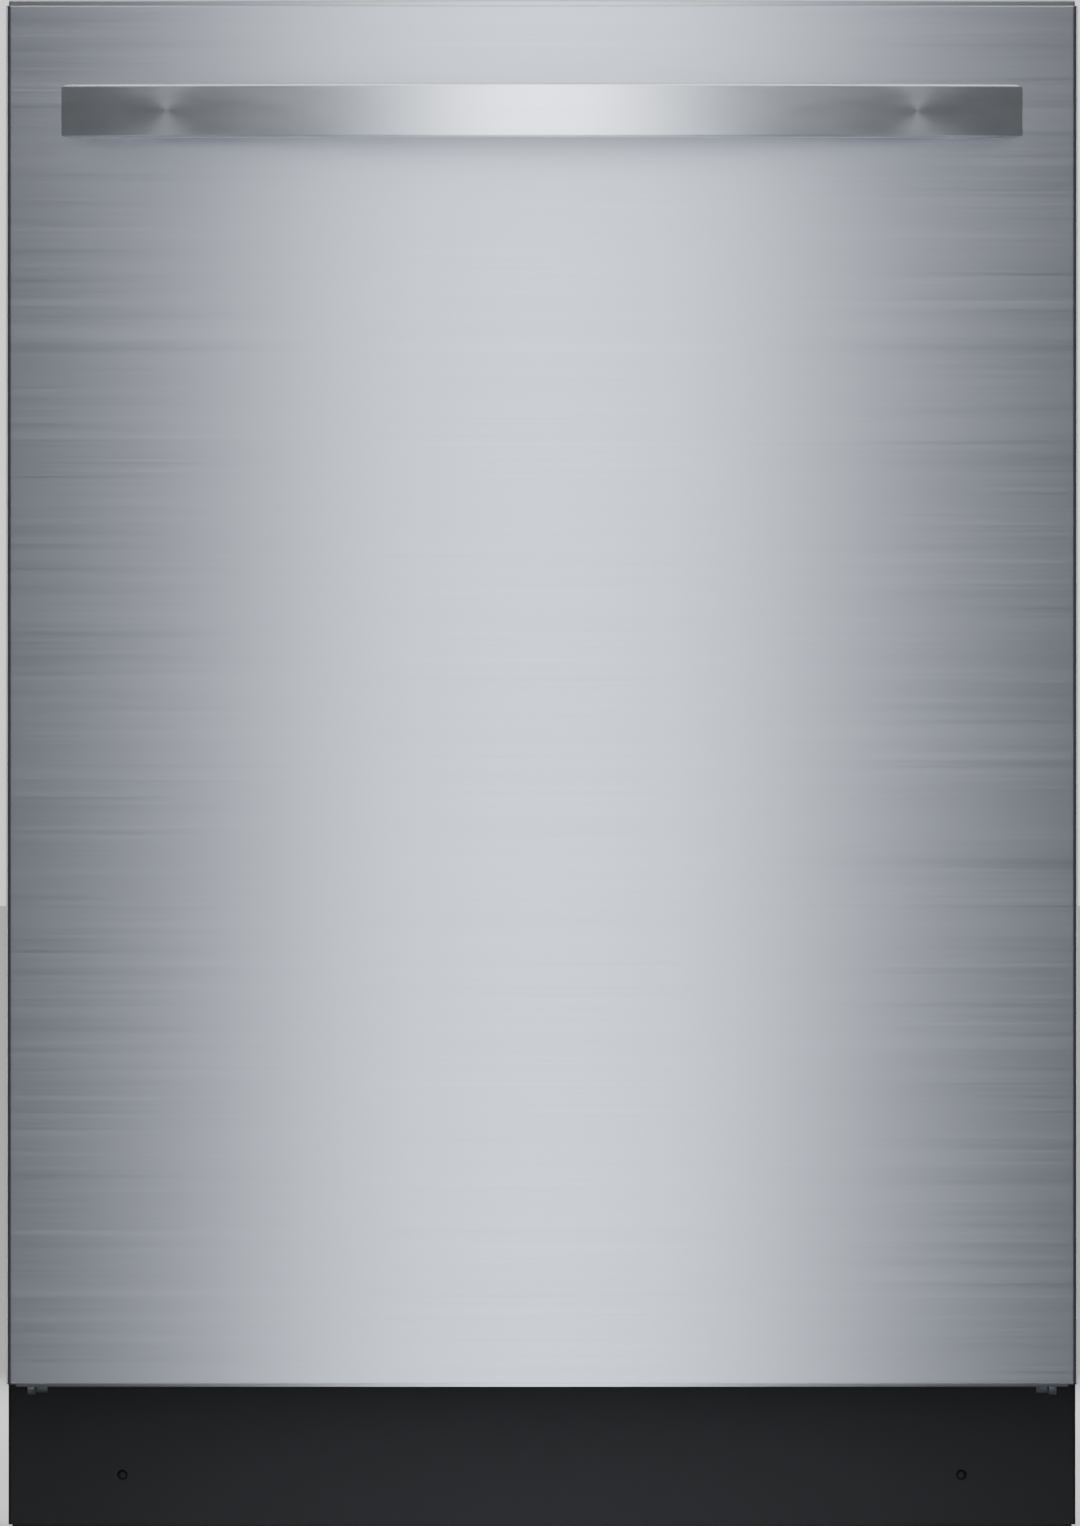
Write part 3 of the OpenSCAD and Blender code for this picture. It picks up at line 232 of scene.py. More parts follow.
def felted(name, base):
    m, t, b = new_mat(name, base, 0.95)
    fine = noise(t, [700] * 3, 1.0, 5.0, 0.7)
    wide = noise(t, [45] * 3, 1.0, 4.0, 0.6)
    mix = node(t, "ShaderNodeMix", data_type="FLOAT", Factor=0.5)
    t.links.new(fine.outputs["Fac"], mix.inputs[2])
    t.links.new(wide.outputs["Fac"], mix.inputs[3])
    col = ramp(t, mix.outputs[0], [(0.35, shade(base, 0.6)), (0.65, shade(base, 1.6))])
    t.links.new(col.outputs["Color"], b.inputs["Base Color"])
    bump(t, b, mix.outputs[0], 0.9, 0.0012)
    return m


def milky(name, base):
    m, t, b = new_mat(name, base, 0.35)
    n = noise(t, [60] * 3, 1.0, 3.0, 0.5)
    col = ramp(t, n.outputs["Fac"], [(0.3, shade(base, 0.92)), (0.7, shade(base, 1.06))])
    t.links.new(col.outputs["Color"], b.inputs["Base Color"])
    b.inputs["Subsurface Weight"].default_value = 0.35
    b.inputs["Subsurface Scale"].default_value = 0.004
    bump(t, b, n.outputs["Fac"], 0.1, 0.0004)
    return m


MAT = {
    "brushed_panel": brushed("panel_steel", (0.47, 0.478, 0.50), 0.38, "x", 0.05, aniso=0.6),
    # The handle steel is a copy of the panel steel with twice its base brightness. This is painted light
    # standing in for the brighter reflection the handle catches.
    "handle_steel_painted_bright": brushed("handle_steel_painted_bright", (0.94, 0.96, 0.99), 0.385, "x", 0.03, aniso=0.5),
    "tub_steel": brushed("tub_steel", (0.66, 0.665, 0.67), 0.28, "z", 0.03),
    "zinc": galvanised("zinc_sheet", (0.50, 0.52, 0.54)),
    "rail_steel": brushed("rail_steel", (0.62, 0.64, 0.66), 0.24, "y", 0.04),
    "black_paint": moulded("black_paint", (0.0030, 0.0030, 0.0030), 0.6, 0.22, 0.10),
    "black_plastic": moulded("black_plastic", (0.022, 0.022, 0.024), 0.50, 0.7, 0.12),
    "grey_plastic": moulded("grey_plastic", (0.22, 0.23, 0.25), 0.42, 0.6),
    "light_plastic": moulded("light_plastic", (0.55, 0.57, 0.60), 0.38, 0.6, 0.04),
    "clear_plastic": milky("milky_plastic", (0.62, 0.66, 0.70)),
    "display_gloss": moulded("display_gloss", (0.008, 0.008, 0.010), 0.12, 2.0, 0.05, 0.000002, 0.6),
    "coated_wire": moulded("coated_wire", (0.30, 0.32, 0.35), 0.36, 0.8, 0.06, 0.00003, 0.2),
    "rubber": moulded("rubber", (0.024, 0.024, 0.025), 0.72, 0.5, 0.15, 0.00006),
    "felt": felted("felt", (0.060, 0.056, 0.052)),
}


def dress_cad():
    """Gives every CAD node the material of its slot."""
    slots = {s["node"]: s["material_slot"] for s in frame["record"]["subparts"]}
    for name, ob in frame["nodes"].items():
        ob.data.materials.clear()
        ob.data.materials.append(MAT[slots[name]])
        for p in ob.data.polygons:
            p.material_index = 0


def make_studio():
    floor_mat, t, b = new_mat("floor", (0.86, 0.86, 0.86), 0.9)
    n = noise(t, [3] * 3, 1.0, 2.0, 0.5)
    col = ramp(t, n.outputs["Fac"], [(0.3, (0.85, 0.85, 0.85)), (0.7, (0.87, 0.87, 0.87))])
    t.links.new(col.outputs["Color"], b.inputs["Base Color"])
    b.inputs["Emission Color"].default_value = (1, 1, 1, 1)
    b.inputs["Emission Strength"].default_value = 0.45
    white, t, b = new_mat("backdrop", (0.9, 0.9, 0.9), 0.9)
    b.inputs["Emission Color"].default_value = (1, 1, 1, 1)
    b.inputs["Emission Strength"].default_value = 1.0
    # Distance and height of the far walls, in metres; the floor ends just before them.
    w, top = 90, 60
    f = w - 1
    floor = plane("floor", [(-f, -f, 0), (f, -f, 0), (f, f, 0), (-f, f, 0)], floor_mat)
    # The strip light reaches below the floor, so the door is lit evenly from top to bottom.
    floor.visible_glossy = False
    floor.visible_shadow = False
    # Walls on all four sides, behind any camera, that light nothing.
    corners = [(-w, w), (w, w), (w, -w), (-w, -w)]
    for i, p in enumerate(corners):
        q = corners[(i + 1) % 4]
        wall = plane("backdrop_%d" % i, [(*p, -1), (*q, -1), (*q, top), (*p, top)], white)
        wall.visible_glossy = False
        wall.visible_diffuse = False
        wall.visible_shadow = False
    d = STRIP_D
    strip = area("strip_front", (0, FACE_Y - d, 0.45), (0, FACE_Y, 0.45), (0.30, 5.0), 22, (0.90, 0.95, 1.06))
    strip.visible_camera = False
    # The strip lights everything but the floor.
    unlit = bpy.data.collections.new("floor_only")
    unlit.objects.link(floor)
    strip.light_linking.receiver_collection = unlit
    unlit.collection_objects[0].light_linking.link_state = "EXCLUDE"
    rear = area("rear_soft", (0.8, 4.2, 2.2), (0, 0.3, 0.45), (3.0, 2.4), 90)
    rear.visible_camera = False
    for s in (-1, 1):
        side = area("side_" + "lr"[s > 0], (s * 2.4, FACE_Y + 1.0, 0.45), (0, FACE_Y + 0.3, 0.45),
                    (0.9, 2.6), 22)
        side.visible_camera = False
    area("top_soft", (0, -0.6, 3.2), (0, 0, 0.4), (2.4, 2.0), 26)


# ---- Mesh building ----

def link(ob):
    bpy.context.scene.collection.objects.link(ob)
    return ob


class Kit:
    """Collects rounded solids in one mesh."""

    def __init__(self):
        self.bm = bmesh.new()

    def box(self, lo, hi, r=0.0, seg=2, only=None):
        """A rounded box between two opposite corners, in any order; only names the axes to round along."""
        bm = bmesh.new()
        lo, hi = Vector(map(min, lo, hi)), Vector(map(max, lo, hi))
        bmesh.ops.create_cube(bm, size=1.0)
        for v in bm.verts:
            v.co = Vector((lo[i] + (v.co[i] + 0.5) * (hi[i] - lo[i]) for i in range(3)))
        if r > 0:
            edges = []
            for e in bm.edges:
                d = e.verts[1].co - e.verts[0].co
                axis = "xyz"[max(range(3), key=lambda i: abs(d[i]))]
                if only is None or axis in only:
                    edges.append(e)
            bmesh.ops.bevel(bm, geom=edges, offset=r, segments=seg, profile=0.5, affect="EDGES")
        self.take(bm)

    def take(self, bm):
        me = bpy.data.meshes.new("tmp")
        bm.to_mesh(me)
        self.bm.from_mesh(me)
        bpy.data.meshes.remove(me)
        bm.free()

    def lathe(self, profile, at, axis, seg=48):
        """Turns (radius, height) points about axis, a unit vector from at."""
        axis = Vector(axis).normalized()
        u = axis.orthogonal().normalized()
        w = axis.cross(u)
        at = Vector(at)
        rings = []
        for r, h in profile:
            c = at + axis * h
            if r < 1e-7:
                rings.append([self.bm.verts.new(c)])
            else:
                rings.append([self.bm.verts.new(c + (u * math.cos(a) + w * math.sin(a)) * r)
                              for a in (2 * math.pi * k / seg for k in range(seg))])
        for a, b in zip(rings, rings[1:]):
            for k in range(seg):
                k2 = (k + 1) % seg
                q = [a[k % len(a)], a[k2 % len(a)], b[k2 % len(b)], b[k % len(b)]]
                q = [v for i, v in enumerate(q) if v not in q[:i]]
                if len(q) > 2:
                    self.bm.faces.new(q)

    def rod(self, a, b, r, c=0.0, seg=32):
        a, b = Vector(a), Vector(b)
        h = (b - a).length
        c = min(c, h / 2.01, r * 0.9)
        pts = [(0, 0), (r, 0), (r, h), (0, h)]
        if c:
            k = c * 0.3
            pts = [(0, 0), (r - c, 0), (r - k, k), (r, c), (r, h - c), (r - k, h - k), (r - c, h), (0, h)]
        self.lathe(pts, a, b - a, seg)

    def tube(self, path, r, seg=8, loop=False, tips=0.0):
        """A round wire along path; tips rounds its two ends."""
        p = [Vector(q) for q in path]
        n = len(p)
        tang = []
        for i in range(n):
            if loop:
                d = p[(i + 1) % n] - p[i - 1]
            else:
                d = p[min(i + 1, n - 1)] - p[max(i - 1, 0)]
            tang.append(d.normalized())
        u = tang[0].orthogonal().normalized()
        rings = []
        for i in range(n):
            u = (u - tang[i] * u.dot(tang[i])).normalized()
            w = tang[i].cross(u)
            rings.append([self.bm.verts.new(p[i] + (u * math.cos(t) + w * math.sin(t)) * r)
                          for t in (2 * math.pi * k / seg for k in range(seg))])
        pairs = list(zip(rings, rings[1:])) + ([(rings[-1], rings[0])] if loop else [])
        for a, b in pairs:
            for k in range(seg):
                self.bm.faces.new([a[k], a[(k + 1) % seg], b[(k + 1) % seg], b[k]])
        if not loop:
            for ring, t, s in ((rings[0], -tang[0], -1), (rings[-1], tang[-1], 1)):
                c = sum((v.co for v in ring), Vector()) / seg
                last = ring
                for f in ((0.5, 0.87), (0.87, 0.5)) if tips else ():
                    new = [self.bm.verts.new(c + (v.co - c) * f[1] + t * r * tips * f[0]) for v in ring]
                    for k in range(seg):
                        q = [last[k], last[(k + 1) % seg], new[(k + 1) % seg], new[k]]
                        self.bm.faces.new(q if s > 0 else q[::-1])
                    last = new
                top = self.bm.verts.new(c + t * r * tips)
                for k in range(seg):
                    q = [last[k], last[(k + 1) % seg], top]
                    self.bm.faces.new(q if s > 0 else q[::-1])

    def loft(self, rings, caps=True, loop=False):
        """Joins rings of points, each with the same number of points."""
        vs = [[self.bm.verts.new(Vector(q)) for q in ring] for ring in rings]
        n = len(vs[0])
        for a, b in list(zip(vs, vs[1:])) + ([(vs[-1], vs[0])] if loop else []):
            for k in range(n):
                self.bm.faces.new([a[k], a[(k + 1) % n], b[(k + 1) % n], b[k]])
        if caps and not loop:
            self.bm.faces.new(vs[0][::-1])
            self.bm.faces.new(vs[-1])

    def sheet(self, grid):
        """A surface through a grid of points."""
        vs = [[self.bm.verts.new(Vector(q)) for q in row] for row in grid]
        for a, b in zip(vs, vs[1:]):
            for k in range(len(a) - 1):
                self.bm.faces.new([a[k], a[k + 1], b[k + 1], b[k]])

    def out(self, name, slot, body, replaces=(), angle=35, mat=None, cuts=(), solid=0.0):
        """Makes the piece: cuts are objects taken away from it, solid thickens a sheet."""
        bmesh.ops.recalc_face_normals(self.bm, faces=self.bm.faces[:])
        me = bpy.data.meshes.new(name)
        self.bm.to_mesh(me)
        self.bm.free()
        ob = link(bpy.data.objects.new(name, me))
        if solid:
            m = ob.modifiers.new("t", "SOLIDIFY")
            m.thickness = solid
            m.offset = -1
        for c in cuts:
            m = ob.modifiers.new("c", "BOOLEAN")
            m.operation = "DIFFERENCE"
            m.solver = "EXACT"
            m.use_self = True
            m.object = c
        if solid or cuts:
            dg = bpy.context.evaluated_depsgraph_get()
            new = bpy.data.meshes.new_from_object(ob.evaluated_get(dg))
            ob.modifiers.clear()
            ob.data = new
            new.name = name
            bpy.data.meshes.remove(me)
            for c in cuts:
                bpy.data.objects.remove(c)
        me = ob.data
        me.materials.clear()
        me.materials.append(mat or MAT[slot])
        me.shade_smooth()
        me.set_sharp_from_angle(angle=math.radians(angle))
        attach(ob, body)
        if replaces:
            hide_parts(*replaces)
        return ob

    def cutter(self):
        """The collected solids as one object for a cut."""
        bmesh.ops.recalc_face_normals(self.bm, faces=self.bm.faces[:])
        me = bpy.data.meshes.new("cutter")
        self.bm.to_mesh(me)
        self.bm.free()
        return link(bpy.data.objects.new("cutter", me))


def bend(points, r, seg=5, loop=False):
    """Rounds the corners of a polyline with arcs of radius r."""
    p = [Vector(q) for q in points]
    n = len(p)
    out = []
    for i in range(n):
        if not loop and i in (0, n - 1):
            out.append(p[i])
            continue
        a, b, c = p[i - 1], p[i], p[(i + 1) % n]
        d1, d2 = (a - b), (c - b)
        l1, l2 = d1.length, d2.length
        d1.normalize()
        d2.normalize()
        ang = d1.angle(d2)
        if ang > math.pi - 0.01:
            out.append(b)
            continue
        t = min(r / math.tan(ang / 2), l1 * 0.49, l2 * 0.49)
        rr = t * math.tan(ang / 2)
        centre = b + (d1 + d2).normalized() * (rr / math.sin(ang / 2))
        s, e = b + d1 * t - centre, b + d2 * t - centre
        full = s.angle(e)
        for k in range(seg + 1):
            f = k / seg
            out.append(centre + (s * math.sin((1 - f) * full) + e * math.sin(f * full)) / math.sin(full))
    return out


def rounded(w, h, r, seg=5, at=(0, 0)):
    """Points of a rounded rectangle, anticlockwise."""
    pts = []
    for cx, cy, a0 in ((1, 1, 0), (-1, 1, 90), (-1, -1, 180), (1, -1, 270)):
        for k in range(seg + 1):
            a = math.radians(a0 + 90 * k / seg)
            x = at[0] + cx * (w / 2 - r) + r * math.cos(a)
            y = at[1] + cy * (h / 2 - r) + r * math.sin(a)
            pts.append((x, y))
    return pts


def spread(a, b, n):
    return [a + (b - a) * i / (n - 1) for i in range(n)]


# ---- Outside of the door ----

def door_skin():
    lo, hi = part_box("door_outer_panel")
    r, t = 0.003, 0.0009
    bm = bmesh.new()
    bmesh.ops.create_cube(bm, size=1.0)
    low = lo.z + 0.0011
    a, b = Vector((lo.x, lo.y, low)), hi
    for v in bm.verts:
        v.co = Vector((a[i] + (v.co[i] + 0.5) * (b[i] - a[i]) for i in range(3)))
    front = [e for e in bm.edges
             if abs(e.verts[0].co.x - e.verts[1].co.x) < 1e-6
             and abs(e.verts[0].co.y - lo.y) < 1e-6 and abs(e.verts[1].co.y - lo.y) < 1e-6]
    bmesh.ops.bevel(bm, geom=front, offset=r, segments=8, profile=0.5, affect="EDGES")
    # Rounds the upper and lower rims, all but the open back.
    for z, o in ((low, 0.0016), (hi.z, 0.0009)):
        rim = [e for e in bm.edges
               if all(abs(v.co.z - z) < 1e-6 for v in e.verts)
               and not all(abs(v.co.y - hi.y) < 1e-6 for v in e.verts)]
        bmesh.ops.bevel(bm, geom=rim, offset=o, segments=3, profile=0.5, affect="EDGES")
    back = [f for f in bm.faces if all(abs(v.co.y - hi.y) < 1e-6 for v in f.verts)]
    top = [f for f in bm.faces if f.normal.z > 0.9 and all(abs(v.co.z - hi.z) < 1e-6 for v in f.verts)]
    bmesh.ops.delete(bm, geom=back + top, context="FACES")
    k = Kit()
    k.take(bm)
    k.out("door_skin", "brushed_panel", "door", ["door_outer_panel"], solid=t)
    # Hem along the lower edge, cut short of the rolled corners.
    k = Kit()
    k.box((lo.x + 0.0055, lo.y + 0.0001, lo.z), (hi.x - 0.0055, lo.y + 0.0016, low + 0.001), 0.0005, 2)
    k.out("door_skin_hem", "brushed_panel", "door")


def door_handle():
    lo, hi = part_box("door_handle")
    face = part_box("door_outer_panel")[0].y
    half, out, h = hi.x, face - lo.y, hi.z - lo.z
    R = (half ** 2 + out ** 2) / (2 * out)
    cy, cz, t, cr, crown = lo.y + R, (lo.z + hi.z) / 2, 0.013, 0.0018, 0.0010
    # Section of the bar: (depth behind the outer face, height), with a crowned face.
    sec = []
    for x, z in rounded(t, h, cr, 5):
        d = t / 2 - x
        k = (z / (h / 2)) ** 2
        if d < t / 2:
            d += crown * k
        sec.append((d, z))
    k = Kit()
    n = 96
    a1 = math.asin(half / R) * 1.04
    rings = []
    for i in range(n + 1):
        a = -a1 + 2 * a1 * i / n
        rings.append([(math.sin(a) * (R - d), cy - math.cos(a) * (R - d), cz + z) for d, z in sec])
    k.loft(rings)
    # The ends run into the door and are cut off at its face.
    geom = k.bm.verts[:] + k.bm.edges[:] + k.bm.faces[:]
    cut = bmesh.ops.bisect_plane(k.bm, geom=geom, plane_co=(0, face + 0.0002, 0), plane_no=(0, 1, 0),
                                 clear_outer=True)
    edges = [e for e in cut["geom_cut"] if isinstance(e, bmesh.types.BMEdge)]
    bmesh.ops.holes_fill(k.bm, edges=edges)
    # The bar and its feet take the brighter copy of the panel steel, which is painted light for the handle's
    # stronger reflection.
    k.out("handle_bar", "brushed_panel", "door", ["door_handle"], angle=40, mat=MAT["handle_steel_painted_bright"])
    k = Kit()
    for s in (-1, 1):
        x0, x1 = half - 0.0505, half - 0.012

        def depth(x):
            return cy - math.sqrt((R - t * 0.6) ** 2 - x * x)

        ring_a, ring_b = [], []
        hh = h / 2 - 0.003
        for x, ring in ((x0, ring_a), (x1, ring_b)):
            y0, y1 = min(depth(x), face - 0.0006), face
            for y, z in ((y1, -hh), (y0, -hh), (y0, hh), (y1, hh)):
                ring.append((s * x, y, cz + z))
        k.loft([ring_a, ring_b])
    k.out("handle_feet", "brushed_panel", "door", mat=MAT["handle_steel_painted_bright"])


def toe_kick():
    lo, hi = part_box("toe_kick")
    t, r = 0.001, 0.0016
    k = Kit()
    prof = bend([(lo.x, hi.y, 0), (lo.x, lo.y, 0), (hi.x, lo.y, 0), (hi.x, hi.y, 0)], r, 5)
    top = hi.z
    rows = [[(p.x, p.y, z) for p in prof] for z in (lo.z, lo.z + 0.0003, top - 0.003)]
    for f in range(1, 6):
        a = math.pi / 2 * f / 5
        off, z = r * (1 - math.cos(a)), top - 0.003 + 0.003 * math.sin(a)
        rows.append([(p.x * (1 - off / hi.x), min(p.y + off, hi.y), z) for p in prof])
    k.sheet(rows)
    y = lo.y
    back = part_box("base_pan")[0].y - 0.0004
    k.sheet([[(-hi.x + r, y + r, top), (hi.x - r, y + r, top)],
             [(-hi.x + r, back, top), (hi.x - r, back, top)]])
    bmesh.ops.remove_doubles(k.bm, verts=k.bm.verts[:], dist=0.00002)
    k.out("toe_kick_panel", "black_paint", "cabinet", ["toe_kick"], solid=t)


def toe_screws():
    lo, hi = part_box("toe_kick_screws")
    r = (hi.z - lo.z) / 2
    cz = (hi.z + lo.z) / 2
    for s, side in ((-1, "left"), (1, "right")):
        x = s * (hi.x - r)
        k = Kit()
        k.lathe([(0, 0), (r * 0.45, 0.00005), (r * 0.75, 0.00045), (r * 0.94, 0.0011), (r, 0.0018),
                 (r, 0.0021), (0, 0.0021)], (x, lo.y - 0.0001, cz), (0, 1, 0), 40)
        c = Kit()
        for w, h in ((0.00075, 0.0034), (0.0034, 0.00075)):
            c.box((x - w / 2, lo.y - 0.001, cz - h / 2), (x + w / 2, lo.y + 0.0011, cz + h / 2))
        k.out("toe_screw_" + side, "black_paint", "cabinet",
              ["toe_kick_screws"] if s < 0 else (), cuts=[c.cutter()])


def control_strip():
    lo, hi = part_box("control_strip")
    k = Kit()
    k.box((lo.x, lo.y, lo.z), hi, 0.0011, 4)
    cut = Kit()
    t = 0.003
    cut.box((lo.x + 0.002, lo.y + 0.0016, lo.z - 0.01), (hi.x - 0.002, hi.y - 0.002, hi.z - t))
    cut.box((lo.x - 0.01, lo.y - 0.01, lo.z - 0.01), (hi.x + 0.01, lo.y + 0.0021, hi.z - 0.015))
    cut.box((-0.018, hi.y - 0.01, lo.z + 0.007), (0.018, hi.y + 0.01, lo.z + 0.023))
    wlo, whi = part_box("display_window")
    play = 0.0003
    cut.box((wlo.x - play, wlo.y - play, wlo.z), (whi.x + play, whi.y + play, whi.z + 0.01),
            0.0012, 2, "z")
    for b in BUTTONS:
        blo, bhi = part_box(b)
        c = (blo + bhi) / 2
        cut.rod((c.x, c.y, lo.z), (c.x, c.y, hi.z + 0.01), 0.0065, 0, 40)
    k.out("control_strip_cover", "brushed_panel", "door", ["control_strip"], cuts=[cut.cutter()])


BUTTONS = ("power_button", "start_button", "program_button_left", "program_button_right")


def buttons():
    for b in BUTTONS:
        lo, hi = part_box(b)
        c = (lo + hi) / 2
        k = Kit()
        r, rf, h = 0.006, (hi.x - lo.x) / 2, hi.z - lo.z
        k.lathe([(0, 0), (rf, 0), (rf, 0.002), (r, 0.002), (r, h - 0.0007), (r - 0.0002, h - 0.0003),
                 (r - 0.0007, h), (r * 0.6, h - 0.0002), (0, h - 0.0004)], (c.x, c.y, lo.z), (0, 0, 1), 48)
        k.out(b + "_cap", "light_plastic", b, [b])


def display():
    lo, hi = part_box("display_window")
    k = Kit()
    k.box(lo, hi, 0.0004, 3)
    k.out("display_glass", "display_gloss", "door", ["display_window"])
    # Light spots beside the buttons.
    k = Kit()
    for b in BUTTONS:
        blo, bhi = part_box(b)
        c = (blo + bhi) / 2
        k.rod((c.x, c.y + 0.013, hi.z - 0.0015), (c.x, c.y + 0.013, hi.z + 0.0001), 0.0011, 0.0003, 20)
    k.out("button_lights", "light_plastic", "door")


def levelling_feet():
    for f in ("foot_front_left", "foot_front_right", "foot_rear_left", "foot_rear_right"):
        lo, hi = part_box(f)
        c, r = (lo + hi) / 2, (hi.x - lo.x) / 2
        pts = [(0, 0.0), (r - 0.0015, 0), (r, 0.0015), (r, 0.004), (r - 0.002, 0.0062), (0.011, 0.0075),
               (0.0095, 0.0085)]
        k = Kit()
        k.lathe(pts + [(0, 0.0085)], (c.x, c.y, 0), (0, 0, 1), 48)
        # Hexagon for the spanner, then the thread.
        ring = [(math.cos(math.radians(60 * i)) * 0.0085, math.sin(math.radians(60 * i)) * 0.0085)
                for i in range(6)]
        k.loft([[(c.x + x, c.y + y, z) for x, y in ring] for z in (0.0084, 0.0128)])
        thread = [(0, 0.012)]
        z = 0.0125
        while z < hi.z - 0.0015:
            thread += [(0.0053, z), (0.006, z + 0.0006)]
            z += 0.00125
        thread += [(0.0048, hi.z), (0, hi.z)]
        k.lathe(thread, (c.x, c.y, 0), (0, 0, 1), 32)
        k.out(f + "_screw", "black_plastic", f, [f], angle=25)


# ---- Racks, wheels and rails ----

WIRE, RIM, LIFT = 0.002, 0.0026, 0.0034
ACROSS, ALONG, TINES = 10, 11, 10


def basket_wires(k, hw, y_floor, y_top, z, rim):
    """Bent wires of a rack: U wires across, U wires along with a leaning front, and the loops."""
    mid = (z + rim) / 2
    for y in spread(y_floor, y_top[1], ACROSS):
        k.tube(bend([(-hw, y, rim), (-hw, y, z), (hw, y, z), (hw, y, rim)], 0.014), WIRE, 8, tips=0.5)
    for x in spread(-hw + 0.02, hw - 0.02, ALONG):
        k.tube(bend([(x, y_top[0], rim), (x, y_floor, z + LIFT), (x, y_top[1], z + LIFT), (x, y_top[1], rim)],
                    0.014), WIRE, 8, tips=0.5)
    f = (y_floor + y_top[0]) / 2
    loop = [(-hw, f, mid), (hw, f, mid), (hw, y_top[1], mid), (-hw, y_top[1], mid)]
    k.tube(bend(loop, 0.02, 6, True), WIRE, 8, loop=True)
    loop = [(-hw, y_top[0], rim), (hw, y_top[0], rim), (hw, y_top[1], rim), (-hw, y_top[1], rim)]
    k.tube(bend(loop, 0.022, 8, True), RIM, 10, loop=True)


def tine_row(k, x, ys, z, h, lean=0.0):
    """Plate tines bent from one wire each pair, on a straight wire along the row."""
    for y in ys:
        k.tube([(x, y, z - 0.001), (x, y, z + h * 0.5), (x + lean * 0.5, y, z + h * 0.8),
                (x + lean, y, z + h - 0.002)], WIRE * 0.85, 8, tips=1.0)


def lower_rack():
    lo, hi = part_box("lower_rack")
    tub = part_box("tub_wrap")[1].x - 0.0008
    hw = tub - 0.024
    y0, y1 = lo.y + RIM, hi.y - RIM
    rim = hi.z - RIM
    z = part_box("tub_floor")[1].z + 0.022
    yf = y0 + 0.020
    k = Kit()
    basket_wires(k, hw, yf, (y0, y1), z, rim)
    ys = spread(yf + 0.045, y1 - 0.040, TINES)
    for x in (-hw * 0.68, -hw * 0.24):
        tine_row(k, x, ys, z + LIFT, 0.072)
        k.tube([(x, yf, z + LIFT), (x, y1, z + LIFT)], WIRE, 8, tips=0.5)
    # Short row of saucer tines by the left wall.
    tine_row(k, -hw * 0.9, spread(yf + 0.06, y1 - 0.06, 7), z + LIFT, 0.045)
    k.out("lower_rack_wires", "coated_wire", "lower_rack", ["lower_rack"], angle=60)
    rack_carriers(z, hw)


def rack_carriers(z, hw):
    """Axle holders and tine clips that snap over the cross wires."""
    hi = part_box("rack_carriers")[1]
    k = Kit()
    for name in ("lower_front_wheels", "lower_rear_wheels"):
        wlo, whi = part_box(name)
        y, wz = (wlo.y + whi.y) / 2, (wlo.z + whi.z) / 2
        for s in (-1, 1):
            prof = [(y - 0.013, wz - 0.005), (y - 0.009, wz - 0.009), (y + 0.009, wz - 0.009),
                    (y + 0.013, wz - 0.005), (y + 0.013, z + 0.014), (y + 0.0075, z + 0.022),
                    (y + 0.0075, z + 0.034), (y - 0.0075, z + 0.034), (y - 0.0075, z + 0.022),
                    (y - 0.013, z + 0.014)]
            ring = [(p.x, p.y) for p in bend([(a_, b_, 0) for a_, b_ in prof], 0.0015, 3, True)]
            xs = (hw - 0.006, hw - 0.0054, hw + 0.0026, hw + 0.0032)
            cy, cz = y, z + 0.008
            rows = []
            for x, f in zip(xs, (0.95, 1.0, 1.0, 0.95)):
                rows.append([(s * x, cy + (a_ - cy) * f, cz + (b_ - cz) * f) for a_, b_ in ring])
            k.loft(rows)
            k.rod((s * (hw + 0.002), y, wz), (s * (hi.x - 0.0001), y, wz), 0.004, 0.0008)
            for dz in (0.026, 0.008):
                k.rod((s * (hw + 0.003), y, z + dz), (s * (hw + 0.0038), y, z + dz), 0.0022, 0.0004, 20)
    flo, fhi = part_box("fold_tines")
    fx, fz = (flo.x + fhi.x) / 2, flo.z + WIRE
    for y in clip_places():
        for s in (-1, 1):
            k.box((fx + s * 0.0024, y - 0.0035, z - 0.001),
                  (fx + s * 0.0055, y + 0.0035, fz + 0.004), 0.0009, 3)
        k.box((fx - 0.0050, y - 0.0033, z + 0.0024), (fx + 0.0050, y + 0.0033, fz - 0.0023), 0.0006, 2)
    k.out("rack_carriers_moulded", "grey_plastic", "lower_rack", ["rack_carriers"], angle=40)


def clip_places():
    """Places along the rack of the clips, on its second, sixth and ninth cross wires."""
    lo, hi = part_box("lower_rack")
    yf, y1 = lo.y + RIM + 0.020, hi.y - RIM
    ys = spread(yf, y1, ACROSS)
    return ys[1], ys[round(ACROSS / 2)], ys[ACROSS - 2]


def fold_tines():
    lo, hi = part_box("fold_tines")
    x, z = (lo.x + hi.x) / 2, lo.z + WIRE
    c = clip_places()
    ys = spread(c[0] + 0.015, c[1] - 0.015, TINES // 2) + spread(c[1] + 0.016, c[2] - 0.015, TINES // 2)
    k = Kit()
    k.tube([(x, lo.y, z), (x, hi.y, z)], WIRE, 10, tips=0.5)
    tine_row(k, x, ys, z, hi.z - z)
    k.out("fold_tines_wires", "coated_wire", "fold_tines", ["fold_tines"], angle=60)


